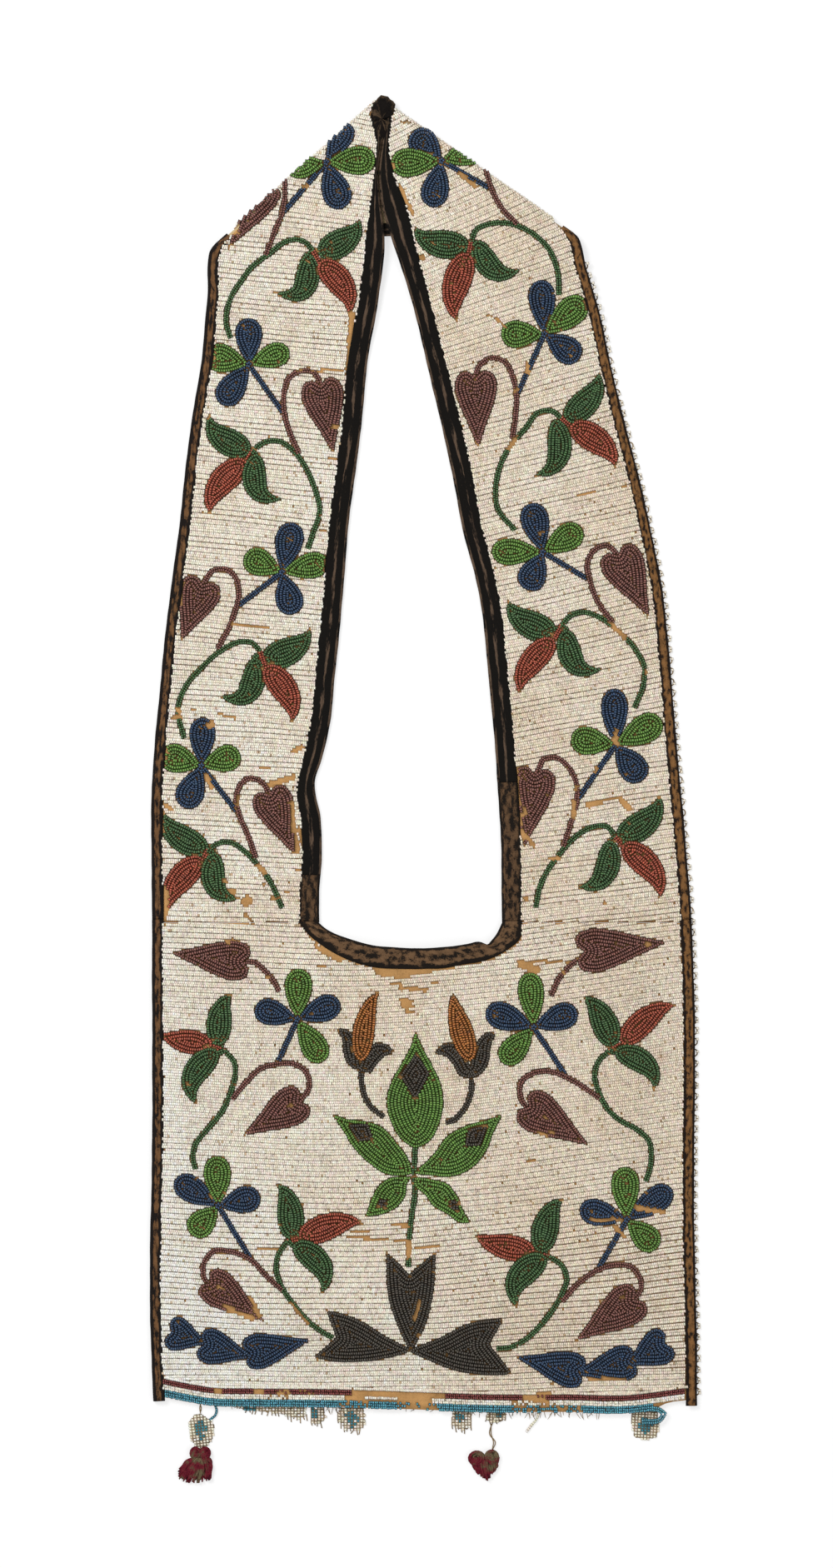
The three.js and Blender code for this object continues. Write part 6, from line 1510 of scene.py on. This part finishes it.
def tubes(name, lines, radius, sides=6, taper=0.7):
    """Threads or strands as fine closed tubes along lines of points."""
    points, faces = [], []
    for line in lines:
        line = np.asarray(line, float)
        n, start = len(line), len(points)
        run = np.gradient(line, axis=0)
        run /= np.maximum(np.linalg.norm(run, axis=1), 1e-9)[:, None]
        up = np.where(np.abs(run[:, 2:]) > 0.9, (1.0, 0, 0), (0, 0, 1.0))
        a = np.cross(run, up)
        a /= np.maximum(np.linalg.norm(a, axis=1), 1e-9)[:, None]
        b = np.cross(run, a)
        for j in range(n):
            r = radius * (1 - (1 - taper) * abs(2 * j / (n - 1) - 1) ** 3)
            for i in range(sides):
                t = 2 * math.pi * i / sides
                points.append(line[j] + r * (math.cos(t) * a[j] + math.sin(t) * b[j]))
        faces += grid_faces(n, sides, start, ring=True)
        faces.append(tuple(start + i for i in range(sides))[::-1])
        faces.append(tuple(start + (n - 1) * sides + i for i in range(sides)))
    return outward(new_piece(name, points, faces))


def strand(points, z):
    """A thread along a smooth line, at one level."""
    line = smooth_line(points, 1.2, corner=100)
    rng.normal(size=line.shape)  # unused, and drawn so that the draws after it stay in their order
    return np.column_stack([line, np.full(len(line), z)])


HELD_BY_THREAD = (
    ("left_tab_thread", 0.4, (
        ([(-157.2, -426.5), (-156.2, -430), (-157, -433.7)], 1.2),
        ([(-156.6, -426.5), (-157.2, -430), (-156.6, -433.7)], 1.7),
    )),
    ("right_tassel_thread", 0.42, (
        ([(46, -440.7), (44.5, -448), (48.5, -454), (46.6, -459)], 1.0),
        ([(45.6, -440.7), (45.6, -448), (47.2, -454), (46.2, -459)], 1.5),
    )),
)
for node, radius, strands in HELD_BY_THREAD:
    thread = tubes(f"{node}_strands", [strand(points, z) for points, z in strands], radius)
    dressed(thread, thread_finish, node)


def bead_line(name, node, points, dye):
    """Beads on a single thread that lies loose."""
    line = spaced(smooth_line(points, 0.5, corner=100), step=1.75)
    d = np.gradient(line, axis=0)
    finish = white_glass if dye == "white" else dyed_glass
    colours = dyed(np.tile(DYES[dye], (len(line), 1)), 0.12)
    lying = np.column_stack([line, np.full(len(line), 1.3)])
    piece = strung(name, lying, d, colours, finish, (1.7, 1.9, 1.8))
    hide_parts(node)


bead_line(
    "left_tab_loop_beads", "left_tab_bead_loop",
    [(-146.5, -427.8), (-145.5, -431.5), (-146.5, -435), (-149.6, -437.6)], "turquoise",
)
bead_line(
    "loose_bead_string", "bead_string",
    [(79, -432.8), (77, -438), (73.5, -442), (70.5, -446)], "white",
)

# Picot edging of the right side: a pair of white beads at every few stitches of a sewing thread,
# which loops over the edge of the binding. Some beads are lost.
PICOT_PITCH, PICOT_STEP, PICOT_LOST = 7.6, 0.95, 0.14
PICOT_WHITE = (0.88, 0.82, 0.70)
edge = EDGES["outer", "right"]
out = beside(spaced(edge[edge[:, 1] < 370], step=PICOT_STEP), -0.1)
ahead = np.gradient(out, axis=0)
ahead /= np.hypot(*ahead.T)[:, None]
sideways = np.column_stack([-ahead[:, 1], ahead[:, 0]])
places, runs, loops = [], [], []
for k in range(0, len(out) - 10, round(PICOT_PITCH / PICOT_STEP)):
    for along in (1.6, 4.0):
        if rng.random() < PICOT_LOST:
            continue
        j = k + int(round(along / PICOT_STEP + rng.uniform(-0.4, 0.4)))
        places.append(out[j] + sideways[j] * (1.5 + rng.uniform(-0.3, 0.3)))
        runs.append(ahead[j])
    stitch = [out[k + j] + sideways[k] * far for j, far in ((0, -0.8), (1, 1.2), (4, 1.4), (6, -0.8))]
    loops.append(strand(stitch, 1.4))
p, d = np.array(places), np.array(runs)
lying = np.column_stack([p, 1.4 + leg_lie(p[:, 1])])
picot = strung("picot_beads", lying, d, np.tile(PICOT_WHITE, (len(p), 1)), white_glass, (1.9, 2.1, 1.9))
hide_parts("right_picot_edging")
# The thread is thicker than a sewing thread, so that its dark tube is partly the real thread and partly
# painted shadow round the white beads
dressed(tubes("picot_thread_and_painted_shadow", loops, 0.5, 5, 1.0), thread_finish)

# Tabs of the fringe: woven of beads on a warp of thread, cream with a turquoise diamond. Two are
# nearly whole and the rest are torn away to stubs.
TAB_PITCH_X, TAB_PITCH_Y, TAB_MARGIN = 2.2, 2.0, 3
TAB_CREAM, TAB_BLUE = (0.88, 0.80, 0.66), (0.060, 0.250, 0.320)
TABS = {
    "left_hanging_tab": (
        [(-161, -434), (-156, -434), (-149, -438.5), (-147, -442), (-148, -451), (-153.5, -458.5),
         (-158.5, -458.5), (-164, -451), (-165, -440)],
        [(-157, -437), (-151.5, -444.5), (-156, -452.5), (-161.5, -445)], 0.12,
    ),
    "torn_tab_1": (
        [(-136, -427.7), (-110, -428.7), (-84, -429), (-82.5, -436), (-90, -438), (-100, -434),
         (-110, -432.5), (-125, -431.5)],
        [(-128, -427), (-118, -427), (-118, -436), (-128, -436)], 0.0,
    ),
    "torn_tab_2": (
        [(-80, -429.2), (-70.5, -429.4), (-69.5, -436), (-73, -441), (-80, -440)],
        [(-80, -429), (-76, -429), (-76, -436), (-80, -436)], 0.0,
    ),
    "torn_tab_3": (
        [(-61, -429.4), (-42.5, -430), (-41.5, -440), (-46, -446), (-56, -445), (-61.5, -438)],
        [(-57, -434), (-50, -432), (-45, -438), (-52, -444)], 0.0,
    ),
    "torn_tab_4": (
        [(18.5, -432), (32, -432.6), (32, -443), (26, -446), (18, -442)],
        [(21, -434), (27, -434), (28, -440), (22, -441)], 0.0,
    ),
    "torn_tab_5": (
        [(42.5, -432.9), (57, -433.3), (56, -438), (46, -440.4), (42, -438)],
        [(48, -432), (53, -432), (53, -437), (48, -437)], 0.0,
    ),
    "right_tab": (
        [(143.5, -433), (161, -430.8), (163, -440), (161, -450), (153, -452.5), (145, -450), (143, -440)],
        [(152.5, -434.5), (158.5, -442), (153, -449.5), (147, -442)], -0.05,
    ),
}
for name, (outline, figure, turn) in TABS.items():
    outline = np.array(outline, float)
    low, high = outline.min(0), outline.max(0)
    start, stop = low - TAB_MARGIN, high + TAB_MARGIN
    centre = (low + high) / 2
    c, s = math.cos(turn), math.sin(turn)
    torn = "torn" in name

    def on_tab(x, y):
        """The points that lie on the tab, turned as it hangs."""
        x, y = x - centre[0], y - centre[1]
        p = np.column_stack([x * c - y * s, x * s + y * c]) + centre
        return p[inside(p, outline)]

    xs, ys = np.arange(start[0], stop[0], TAB_PITCH_X), np.arange(start[1], stop[1], TAB_PITCH_Y)
    p = on_tab(*(grid.ravel() for grid in np.meshgrid(xs, ys)))
    p = p[rng.random(len(p)) > (0.12 if torn else 0.02)]
    colours = np.where(inside(p, figure)[:, None], TAB_BLUE, TAB_CREAM)
    p = p + rng.normal(0, 0.12 if torn else 0.05, p.shape)
    lying = np.column_stack([p, 1.15 + rng.normal(0, 0.08, len(p))])
    rows = np.tile((c, s), (len(p), 1))
    beads = strung(f"{name}_beads", lying, rows, dyed(colours, 0.1), white_glass, (1.8, 1.65, 1.6))
    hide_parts(name)
    warps = []
    for x in np.arange(start[0] - TAB_PITCH_X / 2, stop[0], TAB_PITCH_X):
        column = on_tab(np.full(24, x), np.linspace(low[1], high[1], 24))
        if len(column) < 3:
            continue
        ragged = rng.uniform(0, 4) if torn else 0
        column = np.vstack([column[0] + (rng.normal(0, 0.8), -ragged), column])
        warps.append(np.column_stack([column, 0.75 + 0.25 * np.sin(np.arange(len(column)) * 1.6)]))
    for y in np.arange(start[1] - TAB_PITCH_Y / 2, stop[1], TAB_PITCH_Y):
        row = on_tab(np.linspace(low[0], high[0], 30), np.full(30, y))
        if len(row) > 2:
            warps.append(np.column_stack([row, np.full(len(row), 0.6)]))
    dressed(tubes(f"{name}_warp", warps, 0.42, 5, 1.0), thread_finish)

# Loose ends below the foot: frayed cloth and broken threads, at random along each of the frayed
# lengths, which are from where to where, how long the ends are, and how many.
FRAYED = (
    (-136, -84, 4, 26), (-78, -42, 7, 22), (-20, 12, 3, 8), (18, 60, 6, 26), (60, 125, 7, 34),
    (143, 162, 9, 8),
)
loose = []
for x0, x1, reach, number in FRAYED:
    for _ in range(number):
        x = rng.uniform(x0, x1)
        y = along_at(CLOTH_FOOT, x) + 0.6
        lean, far = rng.normal(0, 2.2), rng.uniform(0.35, 1) * reach
        points = [(x, y), (x + 0.4 * lean, y - 0.45 * far), (x + lean, y - far)]
        loose.append(strand(points, rng.uniform(0.5, 2.2)))
dressed(tubes("loose_threads", loose, 0.24, 5, 0.35), thread_finish)

# Tassels: wool yarn, doubled over and bound into a knot, with its cut ends spread and felted. They
# lie flat.
WOOL_COLOURS = [
    (0.035, 0.005, 0.010), (0.110, 0.009, 0.018), (0.150, 0.013, 0.024), (0.105, 0.062, 0.038),
    (0.150, 0.120, 0.065),
]
wool_finish = yarn_finish("wine red wool with faded strands", WOOL_COLOURS, 700.0)


def tassel(node, lobes, skirt, knot_z, strands):
    """Strands looped in the knot's lobes and run down to the skirt's outline."""
    lines = []
    for cx, cy, rx, ry in lobes:
        for k in range(int(strands * 0.35)):
            turn, tilt = rng.uniform(0, 2 * math.pi), rng.uniform(-0.9, 0.9)
            a = np.linspace(0, 1.6 * math.pi, 12) + turn
            size = rng.uniform(0.02, 1.0)
            dome = 0.75 * knot_z * math.sqrt(max(0, 1 - size**2))
            z = knot_z + dome * np.sin(a * 0.5 + tilt)
            lines.append(np.column_stack([cx + rx * size * np.cos(a), cy + ry * size * np.sin(a), z]))
    top, foot = skirt
    for k in range(strands):
        t = rng.uniform(0, 1)
        start = np.array(top[0]) + (np.array(top[1]) - np.array(top[0])) * t
        end = np.array([np.interp(t, np.linspace(0, 1, len(foot)), [f[i] for f in foot]) for i in (0, 1)])
        end = start + (end - start) * rng.uniform(0.72, 1.0)
        bow = rng.normal(0, 1.1, 2)
        line = smooth_line([start, (start + end) / 2 + bow, end], 1.5, corner=100)
        u = np.linspace(0, 1, len(line))
        z = rng.uniform(0.9, 1.9) * knot_z * (1 - 0.35 * u) * (0.5 + 0.5 * np.sin(math.pi * t))
        z = np.clip(z + 0.5 * np.sin(u * 7 + t * 9), 0.7, 2 * knot_z - 0.5)
        lines.append(np.column_stack([line, z]))
    dressed(tubes(f"{node}_yarn", lines, 0.85, 6, 0.55), wool_finish, node)


tassel(
    "left_tassel", [(-160, -461, 3.6, 4.2), (-153.6, -461, 3.6, 4)],
    (((-162, -464), (-151, -464)),
     [(-172.5, -473), (-172, -479), (-166, -482.2), (-157, -482.4), (-149.5, -480), (-148.5, -472)]),
    3.2, 130,
)
tassel(
    "right_tassel", [(35.5, -464.5, 5.6, 5.0), (46, -463.5, 4.8, 4.6)],
    (((32, -466), (50, -465)), [(34, -474), (39, -478), (43.5, -481), (48, -475), (50, -470)]), 2.8, 90,
)

# Floor and light: the bag lies on a plain white table under soft light, which comes a little from
# the upper left.
bpy.ops.mesh.primitive_plane_add(size=120, location=(0, 0, 0))
table = bpy.context.object
table.name = "white_table"
table_finish, nodes, links, shader = new_material("white table", 0.9)
shader.inputs["Base Color"].default_value = (0.93, 0.93, 0.93, 1)
seen = nodes.new("ShaderNodeLightPath")
glow = nodes.new("ShaderNodeEmission")
glow.inputs["Color"].default_value = (1, 1, 1, 1)
glow.inputs["Strength"].default_value = 1.08
mix = nodes.new("ShaderNodeMixShader")
links.new(maths(nodes, links, "MULTIPLY", seen.outputs["Is Camera Ray"], 0.60), mix.inputs["Fac"])
links.new(shader.outputs["BSDF"], mix.inputs[1])
links.new(glow.outputs["Emission"], mix.inputs[2])
links.new(mix.outputs["Shader"], nodes["Material Output"].inputs["Surface"])
table.data.materials.append(table_finish)

world = bpy.data.worlds.new("room")
world.use_nodes = True
nodes, links = world.node_tree.nodes, world.node_tree.links
nodes["Background"].inputs["Color"].default_value = (1, 1, 1, 1)
seen = nodes.new("ShaderNodeLightPath")
strength = maths(nodes, links, "MULTIPLY_ADD", seen.outputs["Is Camera Ray"], 0.55, 0.45)
links.new(strength, nodes["Background"].inputs["Strength"])
bpy.context.scene.world = world
for name, place, size, power in (
    ("key", (-1.3, 1.1, 2.2), 1.2, 50), ("fill", (1.5, -0.8, 2.2), 1.8, 18),
):
    lamp = bpy.data.lights.new(name, "AREA")
    lamp.shape = "SQUARE"
    lamp.size = size
    lamp.energy = power
    lamp_object = bpy.data.objects.new(name, lamp)
    bpy.context.collection.objects.link(lamp_object)
    lamp_object.location = place
    lamp_object.rotation_euler = (-Vector(place)).to_track_quat("-Z", "Y").to_euler()
bpy.context.scene.view_settings.view_transform = "Standard"
